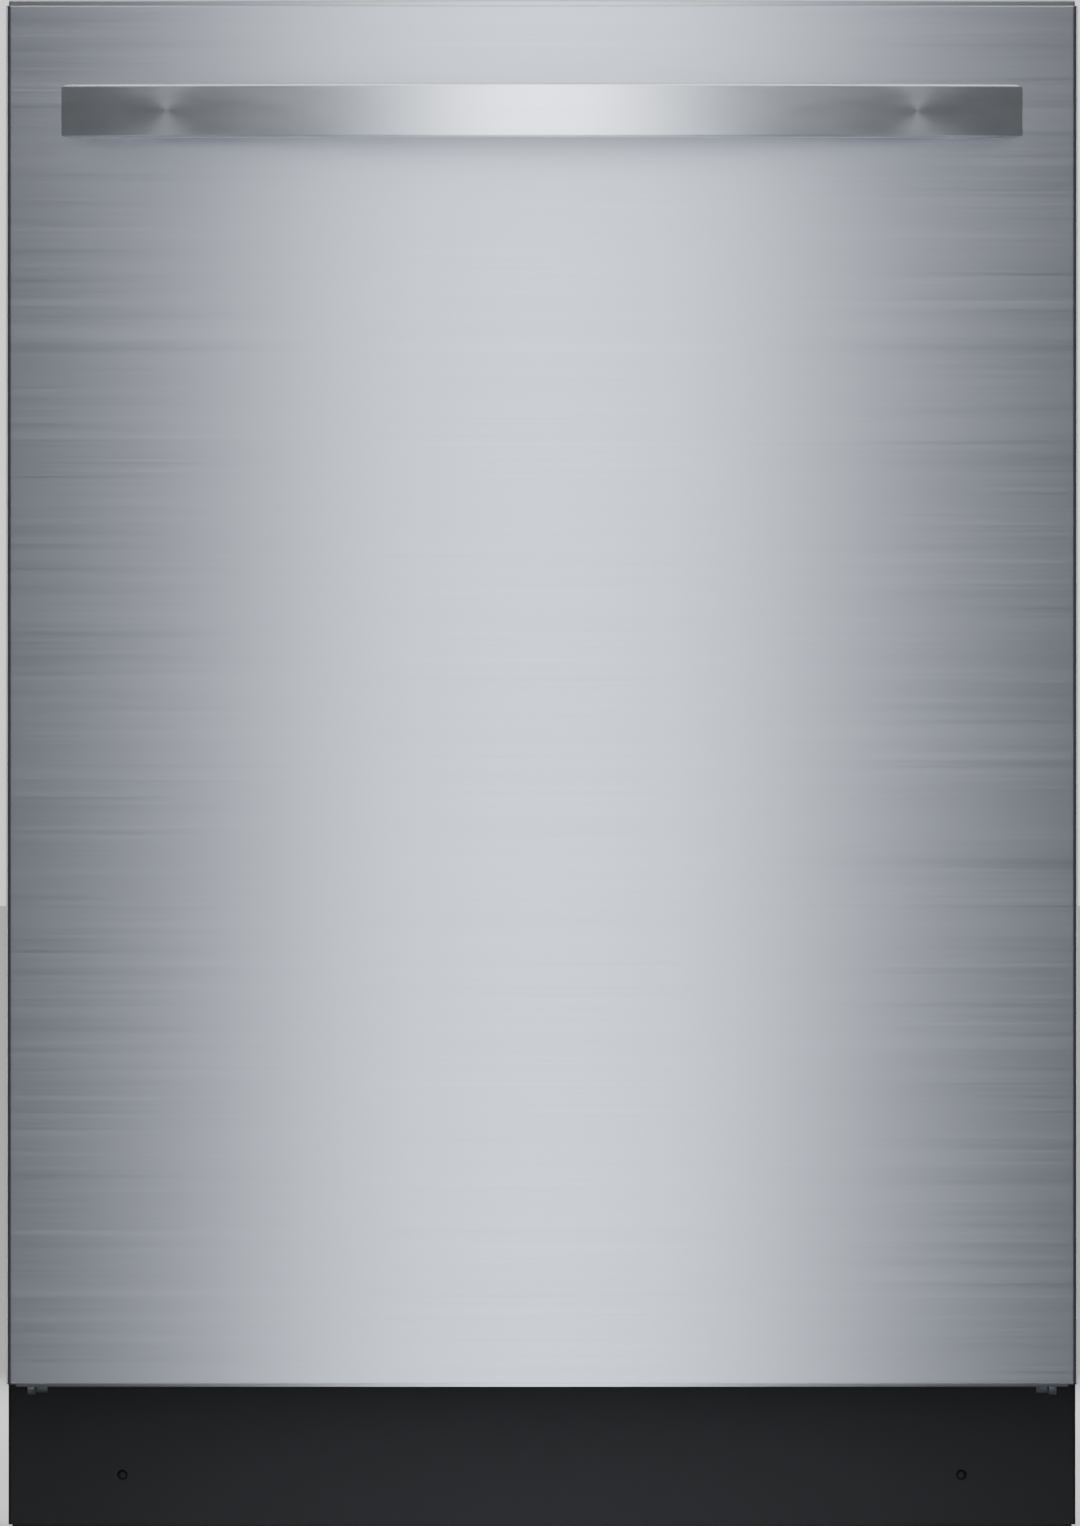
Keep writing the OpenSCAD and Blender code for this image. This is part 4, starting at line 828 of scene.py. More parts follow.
def wheels():
    for name in ("lower_front_wheels", "lower_rear_wheels"):
        lo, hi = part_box(name)
        y, z, r = (lo.y + hi.y) / 2, (lo.z + hi.z) / 2, (hi.z - lo.z) / 2
        w = 0.010
        k = Kit()
        for s in (-1, 1):
            x0 = s * (hi.x - w)
            # Tyre ring, web, spokes and hub.
            k.lathe([(r - 0.003, 0.0008), (r - 0.0012, 0.0), (r - 0.0003, 0.0012), (r, 0.003), (r, w - 0.003),
                     (r - 0.0003, w - 0.0012), (r - 0.0012, w), (r - 0.003, w - 0.0008), (r - 0.003, 0.0008)],
                    (x0, y, z), (s, 0, 0), 48)
            k.lathe([(0.0041, 0.0034), (r - 0.0025, 0.0034), (r - 0.0025, 0.0062), (0.0041, 0.0062),
                     (0.0041, 0.0034)], (x0, y, z), (s, 0, 0), 48)
            k.lathe([(0.0041, 0), (0.0061, 0), (0.0066, 0.0005), (0.0066, w - 0.0005), (0.0061, w),
                     (0.0041, w), (0.0041, 0)], (x0, y, z), (s, 0, 0), 32)
            for i in range(6):
                a = math.radians(60 * i)
                d = Vector((0, math.cos(a), math.sin(a)))
                e = Vector((0, -math.sin(a), math.cos(a))) * 0.0009
                base = Vector((x0, y, z))
                ring = []
                for rr in (0.006, r - 0.0028):
                    p = base + d * rr
                    near, far = Vector((s * 0.001, 0, 0)), Vector((s * (w - 0.001), 0, 0))
                    ring.append([p + e + near, p - e + near, p - e + far, p + e + far])
                k.loft(ring)
        k.out(name + "_spoked", "grey_plastic", name, [name], angle=40)


def cutlery_basket():
    lo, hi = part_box("cutlery_basket")
    top = lo.z + 0.132
    t = 0.002
    k = Kit()
    w, d = hi.x - lo.x, hi.y - lo.y
    cx, cy = (lo.x + hi.x) / 2, (lo.y + hi.y) / 2
    # Corner posts, floor, rim and mid bands, then slats between them.
    for sx in (-1, 1):
        x = cx + sx * (w / 2 - t / 2)
        n = 29
        for i in range(n):
            y = lo.y + 0.004 + (d - 0.008) * i / (n - 1)
            k.box((x - t / 2, y - 0.0018, lo.z + 0.012), (x + t / 2, y + 0.0018, top - 0.026), 0.0004, 1)
    for sy in (-1, 1):
        y = cy + sy * (d / 2 - t / 2)
        n = 9
        for i in range(n):
            x = lo.x + 0.004 + (w - 0.008) * i / (n - 1)
            k.box((x - 0.0018, y - t / 2, lo.z + 0.012), (x + 0.0018, y + t / 2, top - 0.026), 0.0004, 1)
    for z0, z1, g in ((lo.z, lo.z + 0.014, 0), (lo.z + 0.056, lo.z + 0.062, 0), (top - 0.028, top - 0.003, 0),
                      (top - 0.004, top, 0.0008)):
        out = [(cx + x, cy + y) for x, y in rounded(w, d, 0.006, 4)]
        inn = [(cx + x, cy + y) for x, y in rounded(w - 2 * t - 2 * g, d - 2 * t - 2 * g, 0.004, 4)]
        k.loft([[(x, y, z0) for x, y in out], [(x, y, z1) for x, y in out],
                [(x, y, z1) for x, y in inn], [(x, y, z0) for x, y in inn]], caps=False, loop=True)
    # Floor grid.
    for i in range(10):
        x = lo.x + 0.005 + (w - 0.010) * i / 9
        k.box((x - 0.0012, lo.y + 0.001, lo.z + 0.0002), (x + 0.0012, hi.y - 0.001, lo.z + 0.0022))
    for i in range(26):
        y = lo.y + 0.005 + (d - 0.010) * i / 25
        k.box((lo.x + 0.001, y - 0.0012, lo.z + 0.0004), (hi.x - 0.001, y + 0.0012, lo.z + 0.0026))
    # Partitions.
    k.box((cx - 0.001, lo.y + t, lo.z + 0.002), (cx + 0.001, hi.y - t, top - 0.006), 0.0004, 1)
    for i in (1, 2):
        y = lo.y + d * i / 3
        k.box((lo.x + t, y - 0.001, lo.z + 0.002), (hi.x - t, y + 0.001, top - 0.010), 0.0004, 1)
    # Handle arch with a soft grip.
    hz = hi.z - 0.006
    path = bend([(cx, cy - 0.055, top - 0.055), (cx, cy - 0.055, hz), (cx, cy + 0.055, hz),
                 (cx, cy + 0.055, top - 0.055)], 0.022, 8)
    rings = []
    for i, p in enumerate(path):
        a, b = path[max(i - 1, 0)], path[min(i + 1, len(path) - 1)]
        d_ = (b - a).normalized()
        nrm = Vector((0, -d_.z, d_.y))
        rings.append([p + Vector((x, 0, 0)) + nrm * y for x, y in rounded(0.0058, 0.0100, 0.0024, 3)])
    k.loft(rings)
    k.out("cutlery_basket_lattice", "grey_plastic", "cutlery_basket", ["cutlery_basket"], angle=40)


def upper_rack():
    lo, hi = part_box("upper_rack")
    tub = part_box("tub_wrap")[1].x - 0.0008
    hw = tub - 0.034
    y0, y1 = lo.y + RIM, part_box("lower_rack")[1].y - WIRE
    rim = hi.z - RIM
    z = rim - 0.098
    k = Kit()
    basket_wires(k, hw, y0, (y0, y1), z, rim)
    ys = spread(y0 + 0.05, y1 - 0.04, TINES)
    for x in (-hw * 0.4, hw * 0.4):
        tine_row(k, x, ys, z + LIFT, 0.043)
        k.tube([(x, y0, z + LIFT), (x, y1, z + LIFT)], WIRE, 8, tips=0.5)
    k.out("upper_rack_wires", "coated_wire", "upper_rack", ["upper_rack"], angle=60)
    # Sliding rail profiles with their brackets.
    mlo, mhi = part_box("upper_rails_middle")
    rz = (mlo.z + mhi.z) / 2
    sx = (mhi.x - 0.006 - 0.0012 - 0.006, mhi.x - 0.006 - 0.0012)
    ry = (mlo.y, mhi.y)
    k = Kit()
    for s in (-1, 1):
        k.box((s * sx[0], ry[0], rz - 0.007), (s * sx[1], ry[1], rz + 0.007), 0.0012, 3)
        for y in (ry[0] + 0.060, ry[1] - 0.080):
            k.box((s * (hw - 0.002), y, rz - 0.006),
                  (s * (sx[0] + 0.0005), y + 0.030, rz + 0.006), 0.0012, 2)
            for dy in (0.007, 0.023):
                k.lathe([(0, 0), (0.0032, 0), (0.0032, 0.0008), (0.002, 0.0016), (0, 0.0018)],
                        (s * (hw - 0.0022), y + dy, rz), (-s, 0, 0), 20)
    k.out("upper_rack_rails", "rail_steel", "upper_rack", angle=40)
    # Front stops of the rails.
    k = Kit()
    for s in (-1, 1):
        k.box((s * (sx[0] - 0.0008), ry[0] - 0.0035, rz - 0.0085),
              (s * (sx[1] + 0.0003), ry[0] + 0.012, rz + 0.0085), 0.0018, 3)
    # Manifold under the floor, with a hub and snap ribs.
    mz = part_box("middle_spray_arm")[0].z
    ay = arm_centre("middle_spray_arm").y
    pz = mz + 0.013 + 0.0095
    k.rod((0, ay + 0.004, pz), (0, y1 + 0.002, pz), 0.007, 0.001, 32)
    k.lathe([(0, 0.014), (0.012, 0.014), (0.014, 0.016), (0.014, 0.036), (0.0125, 0.0395), (0, 0.0395)],
            (0, ay, mz), (0, 0, 1), 40)
    k.rod((0, ay, mz - 0.0015), (0, ay, mz + 0.016), 0.008, 0, 32)
    k.lathe([(0, -0.003), (0.009, -0.003), (0.012, -0.0022), (0.012, -0.0006), (0, -0.0006)], (0, ay, mz),
            (0, 0, 1), 40)
    for i in range(5):
        y = ay + 0.035 + i * 0.040
        k.box((-0.0095, y, pz - 0.004), (0.0095, y + 0.005, z + LIFT), 0.0012, 2)
    k.rod((0, y1 - 0.010, pz), (0, y1 + 0.002, pz), 0.0088, 0.0015, 32)
    k.out("upper_rack_manifold", "grey_plastic", "upper_rack", angle=40)


def third_rack():
    lo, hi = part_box("third_rack")
    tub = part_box("tub_wrap")[1].x - 0.0008
    hw = tub - 0.026
    y0, y1 = lo.y + RIM, hi.y - RIM
    r = 0.0016
    z, rim = lo.z + r, hi.z - RIM
    k = Kit()
    for y in spread(y0, y1, 6):
        k.tube(bend([(-hw, y, rim), (-hw, y, z), (hw, y, z), (hw, y, rim)], 0.010), r, 8, tips=0.5)
    for i, x in enumerate(spread(-hw + 0.012, hw - 0.012, 2 * ALONG - 1)):
        if i % 2 == 0:
            path = bend([(x, y0, rim), (x, y0, z + 0.0026), (x, y1, z + 0.0026), (x, y1, rim)], 0.010)
        else:
            path = [(x, y0, z + 0.0026), (x, y1, z + 0.0026)]
        k.tube(path, r * 0.9, 8, tips=0.5)
    loop = [(-hw, y0, rim), (hw, y0, rim), (hw, y1, rim), (-hw, y1, rim)]
    k.tube(bend(loop, 0.018, 8, True), RIM, 10, loop=True)
    # Wavy cutlery rests across the tray.
    for y in spread(y0 + 0.06, y1 - 0.06, 6):
        pts = []
        n = 24
        for i in range(n * 4 + 1):
            x = -hw * 0.93 + 2 * hw * 0.93 * i / (n * 4)
            pts.append((x, y, z + 0.0095 + 0.005 * math.sin(i * math.pi / 2)))
        k.tube(pts, 0.0013, 6, tips=0.5)
    k.out("third_rack_wires", "coated_wire", "third_rack", ["third_rack"], angle=60)
    mlo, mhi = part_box("upper_rails_middle")
    rz = z + 0.018
    k = Kit()
    for s in (-1, 1):
        k.box((s * (mhi.x - 0.006), mlo.y, rz - 0.008), (s * mhi.x, mhi.y, rz + 0.008), 0.0012, 3)
        for y in (mlo.y + 0.060, mhi.y - 0.080):
            k.box((s * (hw - 0.0016), y, rz - 0.006),
                  (s * (mhi.x - 0.0055), y + 0.030, rz + 0.006), 0.0012, 2)
    k.out("third_rack_rails", "rail_steel", "third_rack", angle=40)


def arm_centre(name):
    lo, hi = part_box(name)
    return (lo + hi) / 2


def spray_arm(name, up):
    """Curved tapered arm with a hub, water channels that bulge, and nozzles on its up or down side."""
    lo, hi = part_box(name)
    c = (lo + hi) / 2
    half, t = (hi.x - lo.x) / 2, hi.z - lo.z
    wide = (hi.y - lo.y) / 2
    k = Kit()
    n, m = 72, 20
    rings = []
    for i in range(n + 1):
        s = -1 + 2 * i / n
        x = s * half
        bow = 0.0035 * math.sin(s * math.pi)
        end = math.sqrt(max(0.0, 1 - max(0.0, (abs(s) - 0.92) / 0.08) ** 2))
        w = (0.0195 - 0.0045 * abs(s)) * max(0.12, end)
        h = t / 2 * (1 - 0.30 * abs(s)) * max(0.25, end)
        ring = []
        for j in range(m):
            a = 2 * math.pi * j / m
            ca, sa = math.cos(a), math.sin(a)
            p = 2 / 2.8
            yy = math.copysign(abs(ca) ** p, ca) * w
            zz = math.copysign(abs(sa) ** p, sa) * h
            if sa > 0.6:
                zz -= 0.0009 * (1 if abs(ca) < 0.28 else 0)
            ring.append((x, c.y + bow + yy, c.z + zz))
        rings.append(ring)
    k.loft(rings)
    k.lathe([(0.0081, -t / 2), (wide - 0.003, -t / 2), (wide - 0.0006, -t / 2 + 0.0012), (wide, 0),
             (wide - 0.0006, t / 2 - 0.0012), (wide - 0.003, t / 2), (0.015, t / 2), (0.0135, t / 2 - 0.0012),
             (0.0081, t / 2 - 0.0012), (0.0081, -t / 2)], c, (0, 0, 1), 56)
    for s in (-1, 1):
        for i in range(6):
            f = 0.22 + 0.135 * i
            x = s * half * f
            y = c.y + 0.0035 * math.sin(s * f * math.pi) + s * (0.007 if i % 2 else -0.006)
            z = c.z + up * t / 2 * (1 - 0.30 * f) * 0.90
            k.lathe([(0.0042, -0.001), (0.0036, 0.0010), (0.0019, 0.0012), (0.0015, -0.0006), (0, -0.0008)],
                    (x, y, z), (s * 0.25 * (1 if i % 2 else -1), 0, up), 20)
    k.out(name + "_moulding", "light_plastic", name, [name], angle=32)


# ---- Tub, inner door and dispenser ----

def smooth(a, b, x):
    t = min(1.0, max(0.0, (x - a) / (b - a)))
    return t * t * (3 - 2 * t)


def pad_field(u, v, box, soft, corner=0.02):
    """1 inside a rounded rectangle (u0, u1, v0, v1), falling to 0 over soft."""
    cu, cv = (box[0] + box[1]) / 2, (box[2] + box[3]) / 2
    du, dv = abs(u - cu) - (box[1] - box[0]) / 2 + corner, abs(v - cv) - (box[3] - box[2]) / 2 + corner
    d = math.hypot(max(du, 0), max(dv, 0)) + min(max(du, dv), 0) - corner
    return 1 - smooth(-soft / 2, soft / 2, d)


def tub_wrap():
    lo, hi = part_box("tub_wrap")
    t, r = 0.0008, 0.022
    k = Kit()
    hw, top = hi.x - t, hi.z - t
    path = bend([(hw, 0, lo.z), (hw, 0, top), (-hw, 0, top), (-hw, 0, lo.z)], r, 10)
    # More points on the straight runs for the pressed ribs.
    pts = []
    for a, b in zip(path, path[1:]):
        n = max(1, int((b - a).length / 0.008))
        pts += [a.lerp(b, i / n) for i in range(n)]
    pts.append(path[-1])
    ys = spread(lo.y, hi.y, 60)
    rows = []
    for i, p in enumerate(pts):
        q = pts[min(i + 1, len(pts) - 1)] - pts[max(i - 1, 0)]
        out = Vector((q.z, 0, -q.x)).normalized()
        if out.dot(Vector((p.x, 0, p.z - 0.45))) < 0:
            out = -out
        row = []
        for y in ys:
            d = 0.0
            # Pressed ribs: three along each wall and three along the roof.
            if abs(p.x) > hw - 0.001:
                at, places, half = p.z, (0.245, 0.36, 0.635), 0.020
            elif p.z > top - 0.001:
                at, places, half = p.x, (-0.15, 0.0, 0.15), 0.024
            else:
                at, places, half = 0, (), 0
            for c in places:
                box = (lo.y + 0.06, hi.y - 0.06, c - half, c + half)
                d += 0.0006 * pad_field(y, at, box, 0.008, 0.012)
            row.append(p + out * d + Vector((0, y, 0)))
        rows.append(row)
    k.sheet(rows)
    k.out("tub_wrap_sheet", "tub_steel", "cabinet", ["tub_wrap"], angle=30, solid=0.0004)


def tub_back():
    lo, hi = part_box("tub_back")
    k = Kit()
    nx, nz = 110, 130
    rows = []
    for j in range(nz + 1):
        z = lo.z + (hi.z - lo.z) * j / nz
        row = []
        for i in range(nx + 1):
            x = lo.x + (hi.x - lo.x) * i / nx
            d = 0.0
            for c in range(3):
                z0 = lo.z + 0.06 + (hi.z - 0.0008 - 0.16 - lo.z - 0.06) * c / 2
                for s in (-1, 1):
                    box = sorted((s * 0.060, s * (hi.x - 0.0508)))
                    d += 0.0028 * pad_field(x, z, (*box, z0, z0 + 0.11), 0.008, 0.014)
            row.append((x, lo.y + 0.0004 + d, z))
        rows.append(row)
    k.sheet(rows)
    k.out("tub_back_sheet", "tub_steel", "cabinet", ["tub_back"], angle=30, solid=0.0004)


def door_inner():
    """Pressed inner panel of the door, with a raised border, a field and a hole for the dispenser."""
    lo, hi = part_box("door_inner_panel")
    dlo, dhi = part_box("detergent_dispenser")
    k = Kit()
    nx, nz = 150, 200
    grid = {}
    for i in range(nx + 1):
        for j in range(nz + 1):
            x = lo.x + (hi.x - lo.x) * i / nx
            z = lo.z + (hi.z - lo.z) * j / nz
            edge = min(x - lo.x, hi.x - x, z - lo.z, hi.z - z)
            y = hi.y - 0.0045 * (1 - smooth(0.0, 0.006, edge)) ** 2
            field = pad_field(x, z, (lo.x + 0.036, hi.x - 0.036, lo.z + 0.050, hi.z - 0.060), 0.012, 0.030)
            flat = pad_field(x, z, (dlo.x - 0.014, dhi.x + 0.014, dlo.z - 0.014, dhi.z + 0.014), 0.012, 0.016)
            low = pad_field(x, z, (lo.x + 0.060, hi.x - 0.060, lo.z + 0.075, lo.z + 0.235), 0.010, 0.024)
            y -= 0.0032 * field * (1 - flat) - 0.0022 * low
            grid[i, j] = k.bm.verts.new((x, y, z))
    for i in range(nx):
        for j in range(nz):
            c = (grid[i, j].co + grid[i + 1, j + 1].co) / 2
            if dlo.x + 0.012 < c.x < dhi.x - 0.012 and dlo.z + 0.012 < c.z < dhi.z - 0.012:
                continue
            k.bm.faces.new((grid[i, j], grid[i + 1, j], grid[i + 1, j + 1], grid[i, j + 1]))
    # Returns down the sides.
    rim = [grid[i, 0] for i in range(nx + 1)] + [grid[nx, j] for j in range(1, nz + 1)]
    rim += [grid[i, nz] for i in range(nx - 1, -1, -1)] + [grid[0, j] for j in range(nz - 1, 0, -1)]
    back = [k.bm.verts.new((v.co.x, lo.y, v.co.z)) for v in rim]
    n = len(rim)
    for a in range(n):
        k.bm.faces.new((rim[a], rim[(a + 1) % n], back[(a + 1) % n], back[a]))
    k.out("door_inner_pressing", "tub_steel", "door", ["door_inner_panel"], angle=40, solid=0.0009)


def dispenser():
    lo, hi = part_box("detergent_dispenser")
    face, base = hi.y - 0.0025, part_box("door_inner_panel")[1].y
    llo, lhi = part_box("dispenser_lid")
    clo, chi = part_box("rinse_aid_cap")
    k = Kit()
    w, h = hi.x - lo.x, hi.z - lo.z
    cx, cz = (lo.x + hi.x) / 2, (lo.z + hi.z) / 2
    rings = []
    for off, y in ((0.000, base), (0.000, face - 0.0030), (0.0006, face - 0.0016), (0.0018, face - 0.0005),
                   (0.0034, face)):
        rings.append([(cx + x, y, cz + z) for x, z in rounded(w - 2 * off, h - 2 * off, 0.0105, 6)])
    k.loft(rings)
    k.box((lo.x + 0.006, lo.y, lo.z + 0.006), (hi.x - 0.006, base + 0.001, hi.z - 0.006), 0.002, 2)
    for z in (llo.z - 0.005, lhi.z + 0.0005):
        k.box((llo.x - 0.004, face - 0.001, z), (cx + 0.080, hi.y, z + 0.0045), 0.0012, 3)
    cut = Kit()
    cut.box((llo.x + 0.006, lo.y + 0.003, llo.z + 0.006),
            (lhi.x - 0.008, face + 0.02, lhi.z - 0.006), 0.006, 4)
    cut.box((0.030, base - 0.002, lo.z + 0.024), (0.078, face + 0.0005, lo.z + 0.060), 0.004, 4)
    c = (clo + chi) / 2
    cut.rod((c.x, lo.y + 0.003, c.z), (c.x, face + 0.02, c.z), 0.00805, 0, 40)
    k.out("dispenser_housing", "light_plastic", "door", ["detergent_dispenser"], cuts=[cut.cutter()])
    # Round sight glass of the rinse aid tank.
    k = Kit()
    k.lathe([(0, 0.0012), (0.003, 0.0011), (0.0055, 0.0006), (0.0062, 0), (0.0062, -0.001), (0, -0.001)],
            (cx - 0.010, face, hi.z - 0.033), (0, 1, 0), 32)
    k.out("rinse_aid_glass", "display_gloss", "door")
    # Sliding lid with its finger rib.
    k = Kit()
    k.box((llo.x, llo.y, llo.z), (lhi.x, llo.y + 0.002, lhi.z), 0.0008, 3)
    k.box((lhi.x - 0.014, llo.y + 0.0017, llo.z + 0.020), (lhi.x - 0.006, lhi.y, lhi.z - 0.020), 0.0009, 3)
    for i in range(5):
        x = llo.x + 0.008 + i * 0.0105
        k.box((x, llo.y + 0.0017, llo.z + 0.010), (x + 0.0012, llo.y + 0.0024, lhi.z - 0.010), 0.0003, 1)
    k.out("dispenser_lid_slide", "grey_plastic", "dispenser_lid", ["dispenser_lid"], angle=40)
    k = Kit()
    r = chi.z - c.z
    # Radii under a half are metres, the others are shares of the knob's ribbed radius.
    n = 64
    prof = ((0.0080, clo.y), (0.0080, face + 0.0003), (1.0, face + 0.0003), (1.0, chi.y - 0.0010),
            (0.93, chi.y))
    rings = []
    for rr, y in prof:
        ring = []
        for i in range(n):
            a = 2 * math.pi * i / n
            q = rr if rr < 0.5 else rr * (r - 0.0005 + 0.0005 * math.cos(16 * a))
            ring.append((c.x + q * math.cos(a), y, c.z + q * math.sin(a)))
        rings.append(ring)
    k.loft(rings)
    cut = Kit()
    for s in (-1, 1):
        cut.box((c.x + s * 0.0042, chi.y - 0.0026, c.z - r),
                (c.x + s * 0.0125, chi.y + 0.01, c.z + r), 0.0012, 3)
    k.out("rinse_aid_cap_knob", "grey_plastic", "rinse_aid_cap", ["rinse_aid_cap"], angle=30,
          cuts=[cut.cutter()])


def gasket():
    """Rubber profile around the mouth of the tub: a base in the frame and a soft bulb."""
    lo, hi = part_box("door_gasket")
    w = 0.0078
    sec = [(0.0002, hi.y), (w - 0.001, hi.y), (w - 0.001, hi.y - 0.004), (w - 0.003, hi.y - 0.0045)]
    n = 14
    mid, r = w / 2, w / 2 - 0.0002
    top = lo.y + r
    for i in range(n + 1):
        a = -math.radians(20) + math.radians(220) * i / n
        sec.append((mid + r * math.cos(a), top - r * math.sin(a)))
    sec += [(0.0012, hi.y - 0.0045), (0.0002, hi.y - 0.004)]
    z0, z1, x1 = lo.z, hi.z, hi.x
    path = [(x1, z0)]
    rad = 0.019
    for k_ in range(9):
        a = math.pi / 2 * k_ / 8
        path.append((x1 - rad + rad * math.cos(a), z1 - rad + rad * math.sin(a)))
    path += [(-x, z) for x, z in reversed(path)]
    k = Kit()
    rings = []
    for i, (x, z) in enumerate(path):
        a, b = path[max(i - 1, 0)], path[min(i + 1, len(path) - 1)]
        d = Vector((b[0] - a[0], b[1] - a[1])).normalized()
        inn = Vector((-d.y, d.x))
        rings.append([(x + inn.x * s, y, z + inn.y * s) for s, y in sec])
    k.loft(rings)
    k.out("door_gasket_profile", "rubber", "cabinet", ["door_gasket"], angle=50)


def filter_parts():
    lo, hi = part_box("filter_plate")
    flo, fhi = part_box("filter_cup")
    c, r = (lo + hi) / 2, (hi.x - lo.x) / 2
    post, cup = Vector((0, c.y)), Vector(((flo.x + fhi.x) / 2, c.y))
    rc = (fhi.x - flo.x) / 2 - 0.005
    # Perforated steel plate: its holes are flat black discs laid just over the unpierced plate in a fine
    # grid, painted shade for the dark seen through real holes.
    bm = bmesh.new()
    step = 0.0042
    n = int(r / step) + 1
    for i in range(-n, n):
        for j in range(-n, n):
            x, y = c.x + (i + 0.5) * step + (step / 2 if j % 2 else 0), c.y + (j + 0.5) * step
            p = Vector((x, y))
            if (p - Vector((c.x, c.y))).length > r - 0.007 or (p - post).length < 0.020:
                continue
            if (p - cup).length < rc + 0.007:
                continue
            bmesh.ops.create_circle(bm, cap_ends=True, radius=0.0011, segments=8,
                                    matrix=Matrix.Translation((x, y, hi.z + 0.00003)))
    # These black discs are painted shade standing in for the dark inside the holes, not holes cut in the
    # plate.
    k = Kit()
    k.take(bm)
    k.out("filter_hole_painted_shade", "black_plastic", "cabinet", angle=10)
    k = Kit()
    k.lathe([(0, 0), (r - 0.001, 0), (r, 0.0004), (r - 0.0008, 0.0012), (r - 0.004, 0.0012), (0, 0.0012)],
            (c.x, c.y, lo.z), (0, 0, 1), 96)
    cut = Kit()
    cut.rod((post.x, post.y, lo.z - 0.01), (post.x, post.y, hi.z + 0.01), 0.0145, 0, 48)
    cut.rod((cup.x, cup.y, lo.z - 0.01), (cup.x, cup.y, hi.z + 0.01), rc + 0.0005, 0, 64)
    k.out("filter_plate_disc", "tub_steel", "cabinet", ["filter_plate"], angle=30, cuts=[cut.cutter()])
    k = Kit()
    rest = hi.z + 0.0003
    k.lathe([(0, flo.z), (rc - 0.004, flo.z), (rc - 0.001, flo.z + 0.002), (rc - 0.001, rest),
             (rc + 0.0045, rest), (rc + 0.005, rest + 0.0008), (rc + 0.0042, rest + 0.002),
             (rc - 0.002, rest + 0.002),
             (rc - 0.003, rest + 0.001), (rc - 0.003, flo.z + 0.004), (0, flo.z + 0.004)], (cup.x, cup.y, 0),
            (0, 0, 1), 64)
    for i in range(24):
        a = 2 * math.pi * i / 24
        d = Vector((math.cos(a), math.sin(a), 0)) * (rc - 0.0008)
        p = Vector((cup.x, cup.y, 0)) + d
        k.tube([p + Vector((0, 0, flo.z + 0.004)), p + Vector((0, 0, rest - 0.004))], 0.0007, 6)
    grip = rc - 0.002
    k.box((cup.x - grip, cup.y - 0.003, rest - 0.006), (cup.x + grip, cup.y + 0.003, fhi.z), 0.0014, 4)
    k.out("filter_cup_body", "grey_plastic", "filter_cup", ["filter_cup"], angle=35)


def insulation_blanket():
    """Felt and bitumen blanket over the tub, soft at the edges and uneven as such mats are."""
    lo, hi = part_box("insulation")
    glo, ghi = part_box("water_guide")
    t = 0.0096
    k = Kit()
    off = 0.0008
    x, top = hi.x - t - off, hi.z - t - off
    path = bend([(x, 0, lo.z), (x, 0, top), (-x, 0, top), (-x, 0, lo.z)], 0.012, 6)
    pts = []
    for a, b in zip(path, path[1:]):
        n = max(1, int((b - a).length / 0.014))
        pts += [a.lerp(b, i / n) for i in range(n)]
    pts.append(path[-1])
    ys = spread(lo.y, hi.y, 34)
    n, m = len(pts), len(ys)
    gap = (glo.y - 0.002, ghi.y + 0.002, glo.z - 0.002, ghi.z + 0.002)
    inner, outer = {}, {}
    for i, p in enumerate(pts):
        q = pts[min(i + 1, n - 1)] - pts[max(i - 1, 0)]
        out = Vector((q.z, 0, -q.x)).normalized()
        if out.dot(Vector((p.x, 0, p.z - 0.45))) < 0:
            out = -out
        for j, y in enumerate(ys):
            edge = min(i, n - 1 - i, j * 1.2, (m - 1 - j) * 1.2)
            puff = 0.55 + 0.45 * smooth(0, 2.2, edge)
            wave = 0.5 + 0.5 * math.sin(p.z * 31 + 2.1 * math.sin(y * 23)) * math.cos(y * 27 + p.x * 19)
            sew = min(abs(((y - lo.y) / 0.09) % 1 - 0.5), abs(((p.z - lo.z) / 0.13) % 1 - 0.5)) * 2
            h = t * puff * (0.80 + 0.12 * wave + 0.08 * smooth(0.0, 0.25, sew))
            inner[i, j] = k.bm.verts.new(p + Vector((0, y, 0)))
            outer[i, j] = k.bm.verts.new(p + Vector((0, y, 0)) + out * h)

    def open_at(i, j):
        a, b = inner[i, j].co, inner[i + 1, j + 1].co
        c = (a + b) / 2
        return c.x < -0.2 and gap[0] < c.y < gap[1] and gap[2] < c.z < gap[3]

    faces = {(i, j) for i in range(n - 1) for j in range(m - 1) if not open_at(i, j)}
    for i, j in faces:
        for g in (inner, outer):
            k.bm.faces.new((g[i, j], g[i + 1, j], g[i + 1, j + 1], g[i, j + 1]))
        for (di, dj), (a, b) in (((-1, 0), ((i, j), (i, j + 1))), ((1, 0), ((i + 1, j), (i + 1, j + 1))),
                                 ((0, -1), ((i, j), (i + 1, j))), ((0, 1), ((i, j + 1), (i + 1, j + 1)))):
            if (i + di, j + dj) not in faces:
                k.bm.faces.new((inner[a], inner[b], outer[b], outer[a]))
    ob = k.out("insulation_blanket", "felt", "cabinet", ["insulation"], angle=70)


